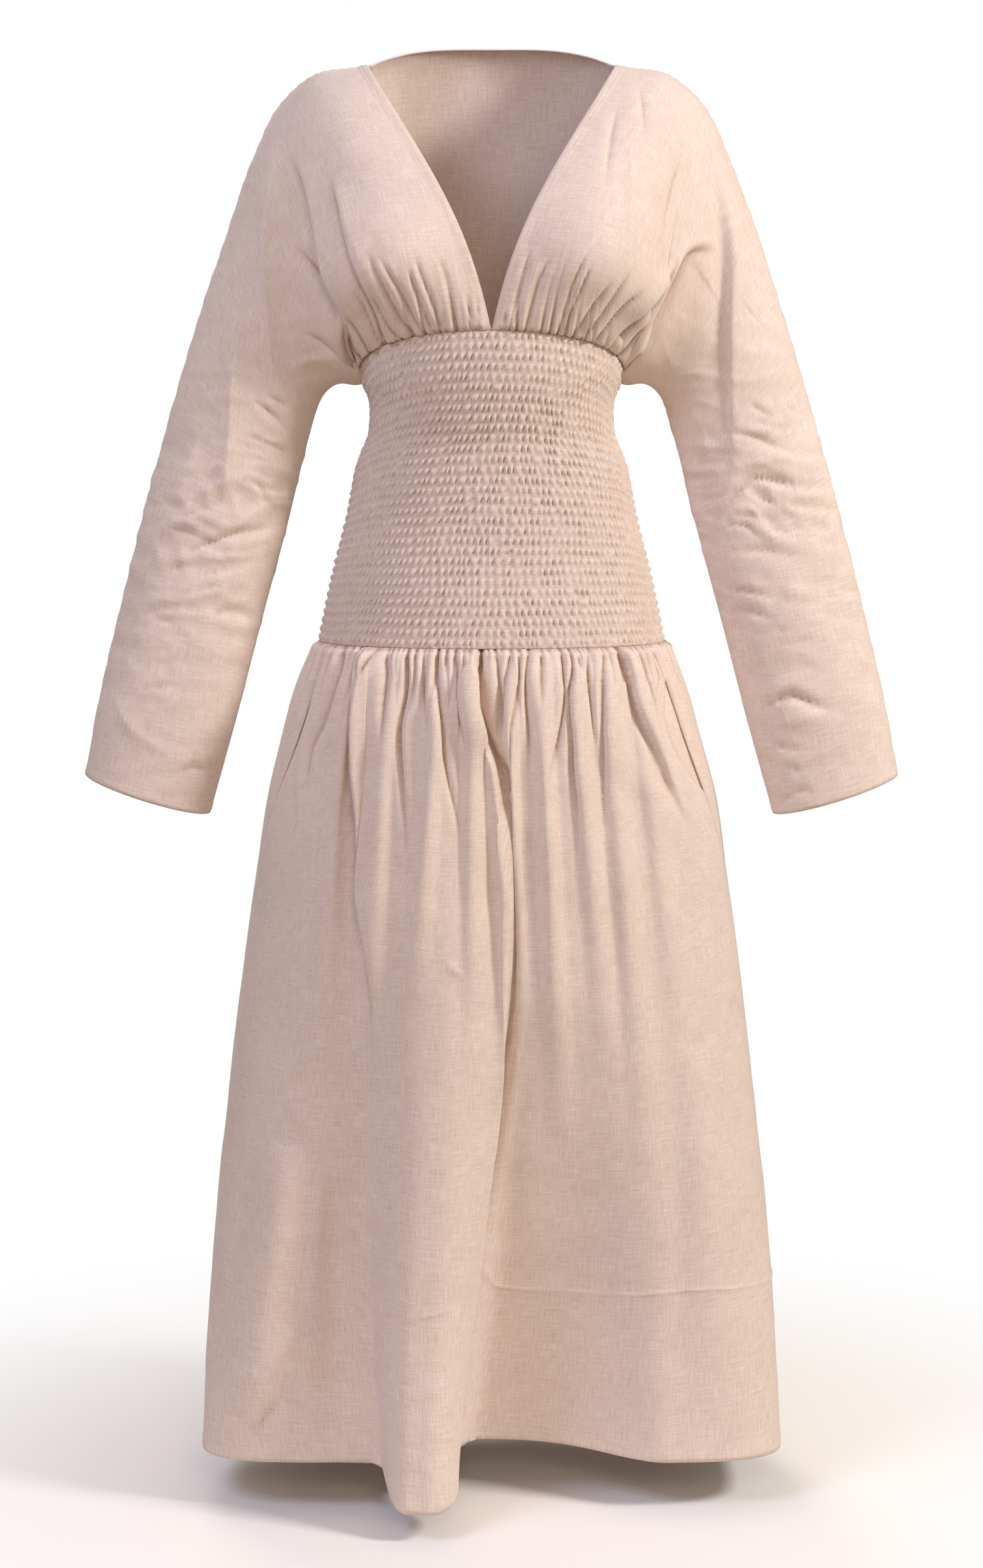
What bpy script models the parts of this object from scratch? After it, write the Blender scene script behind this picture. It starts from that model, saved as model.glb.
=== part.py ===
"""Maxi dress, worn form: deep V bodice with cut-in-one sleeves, shirred waist, gathered skirt.

Metres, +Z up. The wearer faces -Y and the wearer's left is +X. The origin is midway between
the two points where the neckline meets the shoulder seams.
"""
import math

import bmesh
import bpy
import numpy as np

# Cloth and seams
WALL = 0.0016            # cotton-linen cloth with its turned edges
SEAM_HALF_GAP = 0.0002   # each edge stands this far back from the seam line

# Heights of the seams that run round the body
BUST_SEAM_CENTRE = -0.2575   # top of the shirred panel at the centre front
BUST_SEAM_DROP = 0.048       # the seam falls this much from the centre front to the sides
BUST_SEAM_CURVE = 2.1
HIP_SEAM = -0.5605
HEM_FOLD_DROP = 0.022        # the hem hangs lower where the big front fold comes forward
HEM_FOLD_START = 0.55        # this far below the hip seam the lines begin to dip
HEM_FOLD_LENGTH = 0.27

# Neck opening at the back: half an ellipse seen from above, raised in the middle
NECK_HALF_WIDTH = 0.1208
BACK_NECK_DEPTH = 0.065
BACK_NECK_RISE = 0.0216
BACK_NECK_CURVE = 3.4

# Shirred panel
SHIRR_ROWS = 31
RIB_HEIGHT = 0.0014
PANEL_INNER = 0.0012
PANEL_SQUARENESS = 2.15

# Gathers
SKIRT_GATHERS = {"front": 28, "back": 26}
SKIRT_GATHER_RISE = 0.0032
SKIRT_GATHER_START = 0.020     # the skirt's gathers are full this far below the seam
SKIRT_GATHER_HELD = 0.040      # and stay full down to here
SKIRT_GATHER_FADE = 0.130      # over this length they flatten out
GATHER_EDGE_SHARE = 0.05       # share of the width over which they fade at a side seam
BODICE_GATHERS = 11
BODICE_GATHER_RISE = 0.0026
BODICE_GATHER_TOP = 0.42       # share of the way down where the bodice's gathers begin
BODICE_GATHER_LENGTH = 0.45
BODICE_GATHER_SIDE = 0.86      # share of the way round where they begin to fade
BACK_GATHER_END = 6.0          # last line across the back that has gathers

# Side pockets
POCKET_TOP = -0.592
POCKET_MOUTH_END = -0.706
POCKET_BOTTOM = -0.752
POCKET_REACH = 0.105
POCKET_TUCK = 0.005
POCKET_MOUTH = {"l": 0.024, "r": 0.008}   # how far each mouth gapes
POCKET_SEAM_DEPTH = 0.0036                # the bag starts this far inside, at the side seam
POCKET_DEPTH = 0.0110                     # and hangs clear of the gathers further in
POCKET_SLOPE = (0.010, 0.040)             # distances from the bag's edge between those two
POCKET_WALL = 0.0020

RING_POINTS = 1441           # points of the plan curve that the skirt's lengths are read from

CLOTH_COLOUR = (0.687, 0.546, 0.445, 1.0)
CLOTH_ROUGHNESS = 0.92

# Body of the dress from the bust seam to the hip seam
PANEL_COLUMNS = ("z", "half_width", "front", "back")
PANEL_SECTIONS = (
    (-0.2575, 0.1320, 0.1080, 0.0850),
    (-0.3076, 0.1262, 0.1060, 0.0840),
    (-0.3230, 0.1198, 0.1030, 0.0810),
    (-0.3430, 0.1188, 0.0990, 0.0790),
    (-0.3600, 0.1212, 0.0950, 0.0780),
    (-0.3740, 0.1272, 0.0940, 0.0790),
    (-0.4257, 0.1398, 0.0950, 0.0890),
    (-0.4899, 0.1558, 0.1030, 0.1060),
    (-0.5605, 0.1710, 0.1140, 0.1210),
)

# Skirt: centre_y is where the section is widest, square is 2 for an ellipse and more for a box
BACK_SQUARE_SHARE = 0.15     # the back of the section stays nearer to an ellipse
SKIRT_COLUMNS = ("z", "half_width", "front", "back", "centre_y", "square", "seam_angle")
SKIRT_SECTIONS = (
    (-0.5605, 0.1715, 0.1160, 0.1230, 0.000, 2.15, 66.0),
    (-0.5750, 0.1775, 0.1240, 0.1300, 0.000, 2.15, 65.0),
    (-0.6030, 0.1895, 0.1320, 0.1380, 0.000, 2.15, 64.0),
    (-0.6360, 0.2015, 0.1370, 0.1430, 0.000, 2.15, 64.0),
    (-0.7010, 0.2203, 0.1420, 0.1490, 0.002, 2.20, 68.0),
    (-0.7670, 0.2322, 0.1430, 0.1520, 0.004, 2.30, 76.0),
    (-0.8990, 0.2510, 0.1410, 0.1520, 0.008, 2.50, 86.0),
    (-1.0330, 0.2674, 0.1370, 0.1500, 0.012, 2.80, 90.0),
    (-1.1670, 0.2818, 0.1320, 0.1480, 0.016, 3.40, 90.0),
    (-1.3040, 0.2905, 0.1270, 0.1460, 0.020, 4.80, 90.0),
    (-1.3710, 0.2940, 0.1250, 0.1460, 0.020, 5.60, 90.0),
)

# The big fold that falls from the hip to the hem, and the hollow beside it
BIG_FOLD_COLUMNS = ("z", "centre_x", "half_left", "half_right", "rise", "fullness")
BIG_FOLD = (
    (-0.600, -0.066, 0.055, 0.036, 0.000, 2.4),
    (-0.700, -0.062, 0.064, 0.050, 0.011, 2.4),
    (-0.800, -0.060, 0.072, 0.066, 0.020, 2.4),
    (-0.950, -0.056, 0.074, 0.068, 0.030, 2.5),
    (-1.100, -0.060, 0.066, 0.062, 0.044, 2.8),
    (-1.250, -0.068, 0.051, 0.046, 0.064, 3.6),
    (-1.371, -0.070, 0.040, 0.034, 0.086, 4.8),
)
HOLLOW = (
    (-0.900, 0.040, 0.050, 0.070, 0.000, 2.4),
    (-1.000, 0.036, 0.055, 0.110, -0.012, 2.4),
    (-1.100, 0.030, 0.058, 0.140, -0.028, 2.4),
    (-1.250, 0.010, 0.052, 0.165, -0.052, 2.5),
    (-1.371, -0.004, 0.044, 0.180, -0.074, 2.6),
)

# Soft folds that grow out of the gathers: they swell, then fade at the low end
SOFT_FOLD_COLUMNS = ("side", "x_top", "x_low", "z_top", "z_low", "half", "rise")
SOFT_FOLDS = (
    ("front", -0.139, -0.172, -0.580, -0.980, 0.017, 0.0075),
    ("front", -0.100, -0.124, -0.575, -1.020, 0.015, 0.0085),
    ("front", -0.050, -0.074, -0.575, -0.900, 0.014, 0.0075),
    ("front", -0.020, -0.014, -0.575, -1.000, 0.014, 0.0100),
    ("front", 0.016, 0.026, -0.575, -0.940, 0.013, 0.0080),
    ("front", 0.046, 0.070, -0.575, -1.060, 0.015, 0.0090),
    ("front", 0.078, 0.116, -0.575, -0.980, 0.015, 0.0080),
    ("front", 0.108, 0.160, -0.575, -1.100, 0.018, 0.0085),
    ("front", 0.140, 0.196, -0.590, -1.000, 0.016, 0.0070),
    ("front", -0.205, -0.252, -1.050, -1.400, 0.042, 0.0160),
    ("front", -0.150, -0.150, -1.080, -1.400, 0.030, -0.0120),
    ("front", 0.205, 0.240, -0.950, -1.400, 0.040, 0.0090),
    ("back", -0.130, -0.270, -0.580, -1.900, 0.034, 0.0150),
    ("back", -0.080, -0.150, -0.580, -1.900, 0.032, 0.0130),
    ("back", -0.028, -0.050, -0.580, -1.250, 0.024, 0.0100),
    ("back", 0.020, 0.022, -0.580, -1.900, 0.034, 0.0160),
    ("back", 0.066, 0.110, -0.580, -1.300, 0.024, 0.0100),
    ("back", 0.104, 0.180, -0.600, -1.900, 0.032, 0.0140),
    ("back", 0.145, 0.300, -0.600, -1.900, 0.032, 0.0110),
)

# Bodice and sleeve: one row for each line from the overarm seam (top) to the underarm (low).
# bow moves the line sideways, front_1 to front_3 and back_1 to back_3 are the distances from
# the plane y = 0 at one, two and three quarters of the line.
STATION_COLUMNS = ("x_top", "z_top", "x_low", "z_low", "mid_y", "bow", "round_low",
                   "front_1", "front_2", "front_3", "back_1", "back_2", "back_3")
STATIONS = (
    (0.1208, 0.0000, 0.0000, -0.2575, 0.000, -0.0155, 0.0, 0.062, 0.112, 0.120, 0.066, 0.104, 0.100),
    (0.1449, -0.0036, 0.0658, -0.2639, 0.000, -0.0060, 0.0, 0.066, 0.121, 0.136, 0.064, 0.100, 0.094),
    (0.1747, -0.0105, 0.1043, -0.2771, 0.000, 0.0000, 0.0, 0.060, 0.106, 0.117, 0.060, 0.090, 0.080),
    (0.2085, -0.0409, 0.1248, -0.3055, 0.000, 0.0020, 0.4, 0.050, 0.077, 0.068, 0.054, 0.072, 0.056),
    (0.2274, -0.0775, 0.1448, -0.3076, 0.002, 0.0030, 0.9, 0.044, 0.064, 0.048, 0.048, 0.064, 0.046),
    (0.2445, -0.1193, 0.1591, -0.3120, 0.004, 0.0040, 1.0, 0.037, 0.053, 0.038, 0.046, 0.061, 0.045),
    (0.2622, -0.1695, 0.1701, -0.3267, 0.005, 0.0040, 1.0, 0.032, 0.047, 0.033, 0.044, 0.058, 0.043),
    (0.2840, -0.2314, 0.1799, -0.3573, 0.005, 0.0030, 1.0, 0.029, 0.043, 0.029, 0.041, 0.054, 0.041),
    (0.3084, -0.3088, 0.1917, -0.4033, 0.004, 0.0020, 1.0, 0.027, 0.040, 0.027, 0.037, 0.049, 0.037),
    (0.3368, -0.4084, 0.2061, -0.4610, 0.000, 0.0010, 1.0, 0.030, 0.042, 0.030, 0.030, 0.042, 0.030),
    (0.3635, -0.5108, 0.2272, -0.5379, -0.006, 0.0000, 1.0, 0.036, 0.048, 0.036, 0.024, 0.036, 0.024),
    (0.3862, -0.6051, 0.2526, -0.6343, -0.014, 0.0000, 1.0, 0.044, 0.056, 0.044, 0.016, 0.028, 0.016),
    (0.4030, -0.6908, 0.2796, -0.7300, -0.020, 0.0000, 1.0, 0.049, 0.060, 0.049, 0.009, 0.020, 0.009),
)
ARMPIT = 3          # station where the waist seam turns into the underarm seam
CUFF = len(STATIONS) - 1
CUFF_DIP = 0.004    # the cuff's front hangs this much lower than its two seams
FRONT_SEAM_ANGLES = (0.0, 31.0, 56.0, 90.0)   # where stations 0 to 3 meet the panel

# Extra lines across the back of the neck, from the centre back out to station 0
BACK_LINE_COLUMNS = ("neck_share", "seam_angle", "back_1", "back_2", "back_3")
BACK_LINES = (
    (0.00, 0.0, 0.094, 0.110, 0.103),
    (0.45, 14.0, 0.092, 0.110, 0.103),
    (0.80, 27.0, 0.082, 0.108, 0.102),
)
BACK_SEAM_ANGLES = (40.0, 53.0, 68.0, 90.0)

# How finely each piece is divided
SLEEVE_LINES = (3.35, 3.7, 4.1, 4.6, 5.2, 5.9, 6.7, 7.5, 8.3, 9.2, 10.1, 11.0, 11.5, 12.0)
BODICE_LEVELS = (0.0, 0.05, 0.13, 0.25, 0.38, 0.51, 0.64, 0.76, 0.87, 0.95, 1.0)
BACK_CENTRE_LINES = (0.0, 0.5, 1.0, 1.5, 2.0, 2.5, 3.0, 3.6, 4.3, 5.1, 6.0)
PANEL_LINES = 13
SKIRT_TOP_LEVELS = (0.0, 0.010, 0.026, 0.050, 0.085, 0.135)
SKIRT_LOW_LEVELS = (0.195, 0.275, 0.365, 0.460, 0.555, 0.650, 0.735, 0.8103)
SKIRT_LOW_LINES = {"front": 44, "back": 34}


def clamp01(t):
    return np.clip(t, 0.0, 1.0)


def ease(t):
    t = clamp01(t)
    return t * t * (3.0 - 2.0 * t)


def spline(knots, values, at):
    """Natural cubic through rows of values, one row for each knot."""
    knots = np.asarray(knots, dtype=float)
    values = np.asarray(values, dtype=float)
    at = np.atleast_1d(np.asarray(at, dtype=float))
    count = len(knots)
    gaps = np.diff(knots)
    matrix = np.eye(count)
    right = np.zeros_like(values)
    for i in range(1, count - 1):
        matrix[i, i - 1] = gaps[i - 1]
        matrix[i, i] = 2.0 * (gaps[i - 1] + gaps[i])
        matrix[i, i + 1] = gaps[i]
        right[i] = 6.0 * ((values[i + 1] - values[i]) / gaps[i]
                          - (values[i] - values[i - 1]) / gaps[i - 1])
    bend = np.linalg.solve(matrix, right)
    k = np.clip(np.searchsorted(knots, at, side="right") - 1, 0, count - 2)
    h = gaps[k]
    b = (at - knots[k]) / h
    a = 1.0 - b
    if values.ndim == 2:
        a, b, h = a[:, None], b[:, None], h[:, None]
    return (a * values[k] + b * values[k + 1]
            + ((a ** 3 - a) * bend[k] + (b ** 3 - b) * bend[k + 1]) * h * h / 6.0)


def section(rows, columns, z, *names):
    """Read named columns of a table of heights at height z; rows run downwards."""
    depth = [-row[0] for row in rows]
    wanted = [[row[columns.index(name)] for name in names] for row in rows]
    z = min(max(z, rows[-1][0]), rows[0][0])
    return spline(depth, wanted, -z)[0]


def unit_superellipse(turn, square):
    """Polar point of a rounded box of half size 1; turn is 0 at the front, in radians."""
    s, c = np.sin(turn), np.cos(turn)
    radius = (np.abs(s) ** square + np.abs(c) ** square) ** (-1.0 / square)
    return radius * s, radius * c


def gather_lines(count):
    """Shares of the width where gathers crest and dip in turn, unevenly spaced."""
    k = np.arange(count * 2 + 1)
    shift = 0.24 * np.sin(1.7 * k) + 0.16 * np.sin(4.1 * k + 1.0)
    shift[0] = shift[-1] = 0.0
    return (k + shift) / (count * 2)


def gather_wave(share, count):
    """Height from -1 to 1 of the gathers at each share of the width."""
    lines = gather_lines(count)
    k = np.interp(share, lines, np.arange(len(lines)))
    uneven = 0.75 + 0.25 * np.sin(2.3 * np.floor(k / 2.0 + 0.5) + 0.4)
    return np.cos(math.pi * k) * uneven


# Shirred panel


def panel_plan(angle, z, side):
    """Point and outward normal on the panel's plain surface; angle 0 at the middle, degrees."""
    half, front, back = section(PANEL_SECTIONS, PANEL_COLUMNS, z, "half_width", "front", "back")
    depth = front if side == "front" else back
    sign = -1.0 if side == "front" else 1.0
    step = 0.01
    turns = np.radians([angle, angle - step, angle + step])
    sx, cy = unit_superellipse(turns, PANEL_SQUARENESS)
    x, y = half * sx, sign * depth * cy
    dx, dy = x[2] - x[1], y[2] - y[1]
    length = math.hypot(dx, dy)
    normal = np.array([-dy, dx, 0.0]) / length * -sign
    return np.array([x[0], y[0], z]), normal


def bust_seam(angle, side):
    share = abs(angle) / 90.0
    if side == "back":
        share = 1.0
    return BUST_SEAM_CENTRE - BUST_SEAM_DROP * share ** BUST_SEAM_CURVE


def panel_rows(side):
    toward = -1.0 if side == "front" else 1.0
    angles = np.linspace(-90.0, 90.0, PANEL_LINES + 1)
    levels = np.linspace(0.0, 1.0, SHIRR_ROWS * 2 + 1)
    inner_levels = np.linspace(0.0, 1.0, 7)

    def row(level, lift):
        points = []
        for angle in angles:
            top = bust_seam(angle, side) - SEAM_HALF_GAP
            low = HIP_SEAM + SEAM_HALF_GAP
            z = top + (low - top) * level
            point, normal = panel_plan(angle, z, side)
            point = point + normal * lift
            point[1] += toward * SEAM_HALF_GAP
            points.append(((angle + 90.0) / 180.0, point))
        return points

    outer = [row(level, RIB_HEIGHT * (i % 2)) for i, level in enumerate(levels)]
    inner = [row(level, -PANEL_INNER) for level in inner_levels]
    return outer, levels, inner, inner_levels


# Bodice and sleeves


def neck_back(share):
    """Top of a back line: share 0 at the centre back, 1 at the shoulder."""
    return (NECK_HALF_WIDTH * share,
            BACK_NECK_DEPTH * math.sqrt(max(0.0, 1.0 - share * share)),
            BACK_NECK_RISE * (1.0 - share ** BACK_NECK_CURVE))


def column(name):
    return [row[STATION_COLUMNS.index(name)] for row in STATIONS]


def back_column(name):
    return [row[BACK_LINE_COLUMNS.index(name)] for row in BACK_LINES]


def bodice_line(u, side):
    """Top, low end, bow, rounding and depths of the line at u on the wearer's left.

    u counts stations on the front; on the back it counts the extra centre lines first.
    """
    extra = len(BACK_LINES) if side == "back" else 0
    station = u - extra
    numbers = list(range(len(STATIONS)))
    held = max(station, 0.0)
    x_top, z_top, x_low, z_low, mid_y = spline(
        numbers, list(zip(*[column(n) for n in ("x_top", "z_top", "x_low", "z_low", "mid_y")])), held)[0]
    bow, round_low = spline(numbers, list(zip(column("bow"), column("round_low"))), held)[0]
    top = np.array([x_top, mid_y, z_top])
    low = np.array([x_low, mid_y, z_low])
    if side == "front":
        depths = spline(numbers, list(zip(column("front_1"), column("front_2"), column("front_3"))), held)[0]
        depths = -depths
        angle_knots, angles = range(ARMPIT + 1), FRONT_SEAM_ANGLES
    else:
        names = ("back_1", "back_2", "back_3")
        rows = list(zip(*[back_column(n) + column(n) for n in names]))
        depths = spline(range(len(rows)), rows, u)[0]
        if station < 0.0:
            shares = back_column("neck_share") + [1.0]
            share = float(np.interp(u, range(len(shares)), shares))
            top = np.array(neck_back(share))
            bow = 0.0
        else:
            bow = bow * float(ease(station / 2.0))
        angle_knots = range(extra + ARMPIT + 1)
        angles = back_column("seam_angle") + list(BACK_SEAM_ANGLES)
    if station <= ARMPIT:
        angle = float(spline(angle_knots, np.array(angles)[:, None], u)[0, 0])
        low = panel_plan(angle, bust_seam(angle, side), side)[0]
        low[2] += SEAM_HALF_GAP
    return top, low, bow, float(clamp01(round_low)), depths


def bodice_point(u, v, side):
    top, low, bow, round_low, depths = bodice_line(u, side)
    spread = v - (1.0 - math.cos(math.pi * v)) / 2.0
    down = float(ease(v))
    w = v - ((1.0 - down) + round_low * down) * spread
    point = top + (low - top) * w
    point[0] += bow * math.sin(math.pi * w ** 1.25)
    if side == "front":
        point[2] -= CUFF_DIP * math.sin(math.pi * v) * float(ease(u - CUFF + 1.0))
    knots = (0.0, 0.25, 0.5, 0.75, 1.0)
    point[1] = spline(knots, np.array([top[1], *depths, low[1]])[:, None], v)[0, 0]
    return point


def bodice_normal(u, v, side):
    first, last = 0.0, (CUFF + len(BACK_LINES) if side == "back" else CUFF)
    du, dv = 0.02, 0.01
    u0, u1 = max(first, u - du), min(last, u + du)
    v0, v1 = max(0.0, v - dv), min(1.0, v + dv)
    across = bodice_point(u1, v, side) - bodice_point(u0, v, side)
    along = bodice_point(u, v1, side) - bodice_point(u, v0, side)
    normal = np.cross(along, across)
    if side == "back":
        normal = -normal
    station = u - (len(BACK_LINES) if side == "back" else 0)
    if v == 1.0 and station <= ARMPIT:
        normal[2] = 0.0
    elif (v == 0.0 and station >= 0.0) or v == 1.0:
        normal[1] = 0.0
    if station == -len(BACK_LINES):
        normal[0] = 0.0
    return normal / np.linalg.norm(normal)


def bodice_relief(u, v, side):
    """Gathers that fan up from the waist seam."""
    reach = clamp01(u / (ARMPIT if side == "front" else BACK_GATHER_END))
    fade = 1.0 - ease((reach - BODICE_GATHER_SIDE) / (1.0 - BODICE_GATHER_SIDE))
    if side == "front":
        fade *= ease(reach / GATHER_EDGE_SHARE)
    height = ease((v - BODICE_GATHER_TOP) / BODICE_GATHER_LENGTH)
    height *= 1.0 - 0.55 * ease((v - 0.93) / 0.07)   # held down at the seam itself
    return float(BODICE_GATHER_RISE * fade * height * gather_wave(reach, BODICE_GATHERS))


def bodice_rows(side, us, mirror):
    toward = -1.0 if side == "front" else 1.0
    first, last = us[0], us[-1]
    outer, inner = [], []
    for v in BODICE_LEVELS:
        outer_row, inner_row = [], []
        for u in us:
            at = abs(u)
            sign = -1.0 if (mirror or u < 0.0) else 1.0
            base = bodice_point(at, v, side)
            normal = bodice_normal(at, v, side)
            base[1] += toward * SEAM_HALF_GAP
            out = base + normal * bodice_relief(at, v, side)
            inn = out - normal * WALL
            if side == "front":
                out[0] = max(out[0], SEAM_HALF_GAP)
                inn[0] = max(inn[0], SEAM_HALF_GAP)
            share = (u - first) / (last - first)
            flip = np.array([sign, 1.0, 1.0])
            outer_row.append((share, out * flip))
            inner_row.append((share, inn * flip))
        outer.append(outer_row)
        inner.append(inner_row)
    return outer, BODICE_LEVELS, inner, BODICE_LEVELS


# Skirt


def bump(x, rows, z):
    """Sideways profile of a deep fold whose table gives centre, half widths and rise."""
    if z >= rows[0][0]:
        return np.zeros_like(x)
    centre, left, right, rise, fullness = section(
        rows, BIG_FOLD_COLUMNS, z, "centre_x", "half_left", "half_right", "rise", "fullness")
    t = np.where(x < centre, (centre - x) / left, (x - centre) / right)
    return rise * (1.0 - clamp01(t) ** fullness) ** 2


def skirt_ring(z):
    """Closed plan curve at height z: points, outward normals, length along it, seam places."""
    half, front, back, centre_y, square, seam = section(
        SKIRT_SECTIONS, SKIRT_COLUMNS, z, "half_width", "front", "back", "centre_y", "square", "seam_angle")
    turn = np.radians(np.linspace(-180.0, 180.0, RING_POINTS))
    square_back = PANEL_SQUARENESS + BACK_SQUARE_SHARE * (square - PANEL_SQUARENESS)
    sx, cy = unit_superellipse(turn, np.where(np.cos(turn) > 0.0, square, square_back))
    x = half * sx
    y = centre_y - np.where(cy > 0.0, front, back) * cy
    facing = ease((np.abs(cy) - 0.12) / 0.3)
    forward = bump(x, BIG_FOLD, z) + bump(x, HOLLOW, z)
    shift = np.where(cy > 0.0, -forward, 0.0)
    for row in SOFT_FOLDS:
        fold = dict(zip(SOFT_FOLD_COLUMNS, row))
        if not fold["z_low"] < z < fold["z_top"]:
            continue
        share = (fold["z_top"] - z) / (fold["z_top"] - fold["z_low"])
        centre = fold["x_top"] + (fold["x_low"] - fold["x_top"]) * share
        wide = fold["half"] * (0.75 + 0.6 * share)
        height = fold["rise"] * math.sin(math.pi * share ** 0.6)
        profile = height * (1.0 - clamp01(np.abs(x - centre) / wide) ** 2) ** 2
        here = cy > 0.0 if fold["side"] == "front" else cy < 0.0
        sign = -1.0 if fold["side"] == "front" else 1.0
        shift = shift + np.where(here, sign * profile * facing, 0.0)
    points = np.stack([x, y + shift], axis=1)
    tangent = np.roll(points[:-1], -1, axis=0) - np.roll(points[:-1], 1, axis=0)
    tangent = np.vstack([tangent, tangent[:1]])
    tangent /= np.linalg.norm(tangent, axis=1)[:, None]
    normals = np.stack([tangent[:, 1], -tangent[:, 0]], axis=1)
    length = np.concatenate([[0.0], np.cumsum(np.linalg.norm(np.diff(points, axis=0), axis=1))])
    seams = np.interp(np.radians([-seam, seam]), turn, length)
    return points, normals, length, seams


def mouth(z, side):
    """How far the front panel's edge stands back from the side seam at a pocket mouth."""
    share = (POCKET_TOP - z) / (POCKET_TOP - POCKET_MOUTH_END)
    return POCKET_MOUTH[side] * math.sin(math.pi * min(max(share, 0.0), 1.0)) ** 0.8


def panel_span(side, z, seams, total):
    """Start and end of a panel along the ring, as lengths that may run past the ring's end."""
    if side == "front":
        return seams[0] + SEAM_HALF_GAP + mouth(z, "r"), seams[1] - SEAM_HALF_GAP - mouth(z, "l")
    return seams[1] + SEAM_HALF_GAP, seams[0] + total - SEAM_HALF_GAP


def ring_points(ring, lengths):
    points, normals, length, _ = ring
    at = np.mod(lengths, length[-1])
    xy = np.stack([np.interp(at, length, points[:, i]) for i in range(2)], axis=1)
    out = np.stack([np.interp(at, length, normals[:, i]) for i in range(2)], axis=1)
    return xy, out / np.linalg.norm(out, axis=1)[:, None]


def skirt_hem(x, drop, side):
    """The hem hangs lower under the big fold; the change fades out up the skirt."""
    low = np.zeros_like(x)
    if side == "front":
        _, centre, left, right, _, fullness = BIG_FOLD[-1]
        t = np.where(x < centre, (centre - x) / left, (x - centre) / right)
        low = HEM_FOLD_DROP * (1.0 - clamp01(t) ** fullness)
    return low * ease((drop - HEM_FOLD_START) / HEM_FOLD_LENGTH)


def skirt_rows(side):
    count = SKIRT_GATHERS[side]
    outer, inner = [], []
    levels = SKIRT_TOP_LEVELS + SKIRT_LOW_LEVELS
    for drop in levels:
        z = HIP_SEAM - SEAM_HALF_GAP - drop
        ring = skirt_ring(z)
        start, end = panel_span(side, z, ring[3], ring[2][-1])
        if drop <= SKIRT_TOP_LEVELS[-1]:
            shares = gather_lines(count)
        else:
            shares = np.linspace(0.0, 1.0, SKIRT_LOW_LINES[side] + 1)
        xy, out = ring_points(ring, start + (end - start) * shares)
        swell = 0.45 + 0.55 * ease(drop / SKIRT_GATHER_START)
        fade = 1.0 - ease((drop - SKIRT_GATHER_HELD) / SKIRT_GATHER_FADE)
        edge = ease(shares / GATHER_EDGE_SHARE) * ease((1.0 - shares) / GATHER_EDGE_SHARE)
        lift = SKIRT_GATHER_RISE * swell * fade * edge * gather_wave(shares, count)
        height = z - skirt_hem(xy[:, 0], drop, side)
        outer_xy = xy + out * lift[:, None]
        inner_xy = outer_xy - out * WALL
        outer.append([(s, np.array([p[0], p[1], h])) for s, p, h in zip(shares, outer_xy, height)])
        inner.append([(s, np.array([p[0], p[1], h])) for s, p, h in zip(shares, inner_xy, height)])
    return outer, levels, inner, levels


# Pockets


def pocket_rows(side):
    """A flat bag inside the side seam, rounded at its lower front corner."""
    outer, inner = [], []
    heights = np.linspace(POCKET_TOP, POCKET_BOTTOM, 8)
    shares = np.linspace(0.0, 1.0, 9)
    for z in heights:
        ring = skirt_ring(z)
        down = (POCKET_TOP - z) / (POCKET_TOP - POCKET_BOTTOM)
        reach = POCKET_REACH * (0.55 + 0.45 * math.sin(math.pi * (0.15 + 0.72 * down)))
        if side == "l":
            lengths = ring[3][1] + POCKET_TUCK - (POCKET_TUCK + reach) * shares
        else:
            lengths = ring[3][0] - POCKET_TUCK + (POCKET_TUCK + reach) * shares
        xy, out = ring_points(ring, lengths)
        inward = ((POCKET_TUCK + reach) * shares - POCKET_SLOPE[0]) / (POCKET_SLOPE[1] - POCKET_SLOPE[0])
        depth = POCKET_SEAM_DEPTH + (POCKET_DEPTH - POCKET_SEAM_DEPTH) * ease(inward)[:, None]
        outer_xy = xy - out * depth
        inner_xy = outer_xy - out * POCKET_WALL
        outer.append([(s, np.array([p[0], p[1], z])) for s, p in zip(shares, outer_xy)])
        inner.append([(s, np.array([p[0], p[1], z])) for s, p in zip(shares, inner_xy)])
    levels = list(np.linspace(0.0, 1.0, len(heights)))
    return outer, levels, inner, levels


# Solids


def stitch(a, b):
    """Triangles between two lines of (share, vertex) that run the same way."""
    faces = []
    i = j = 0
    while i < len(a) - 1 or j < len(b) - 1:
        take_a = j == len(b) - 1 or (i < len(a) - 1 and a[i + 1][0] <= b[j + 1][0])
        if take_a:
            faces.append((a[i][1], a[i + 1][1], b[j][1]))
            i += 1
        else:
            faces.append((a[i][1], b[j + 1][1], b[j][1]))
            j += 1
    return faces


def cloth_material():
    material = bpy.data.materials.new("cotton_linen")
    material.use_nodes = True
    shader = material.node_tree.nodes["Principled BSDF"]
    shader.inputs["Base Color"].default_value = CLOTH_COLOUR
    shader.inputs["Roughness"].default_value = CLOTH_ROUGHNESS
    shader.inputs["Metallic"].default_value = 0.0
    return material


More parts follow.
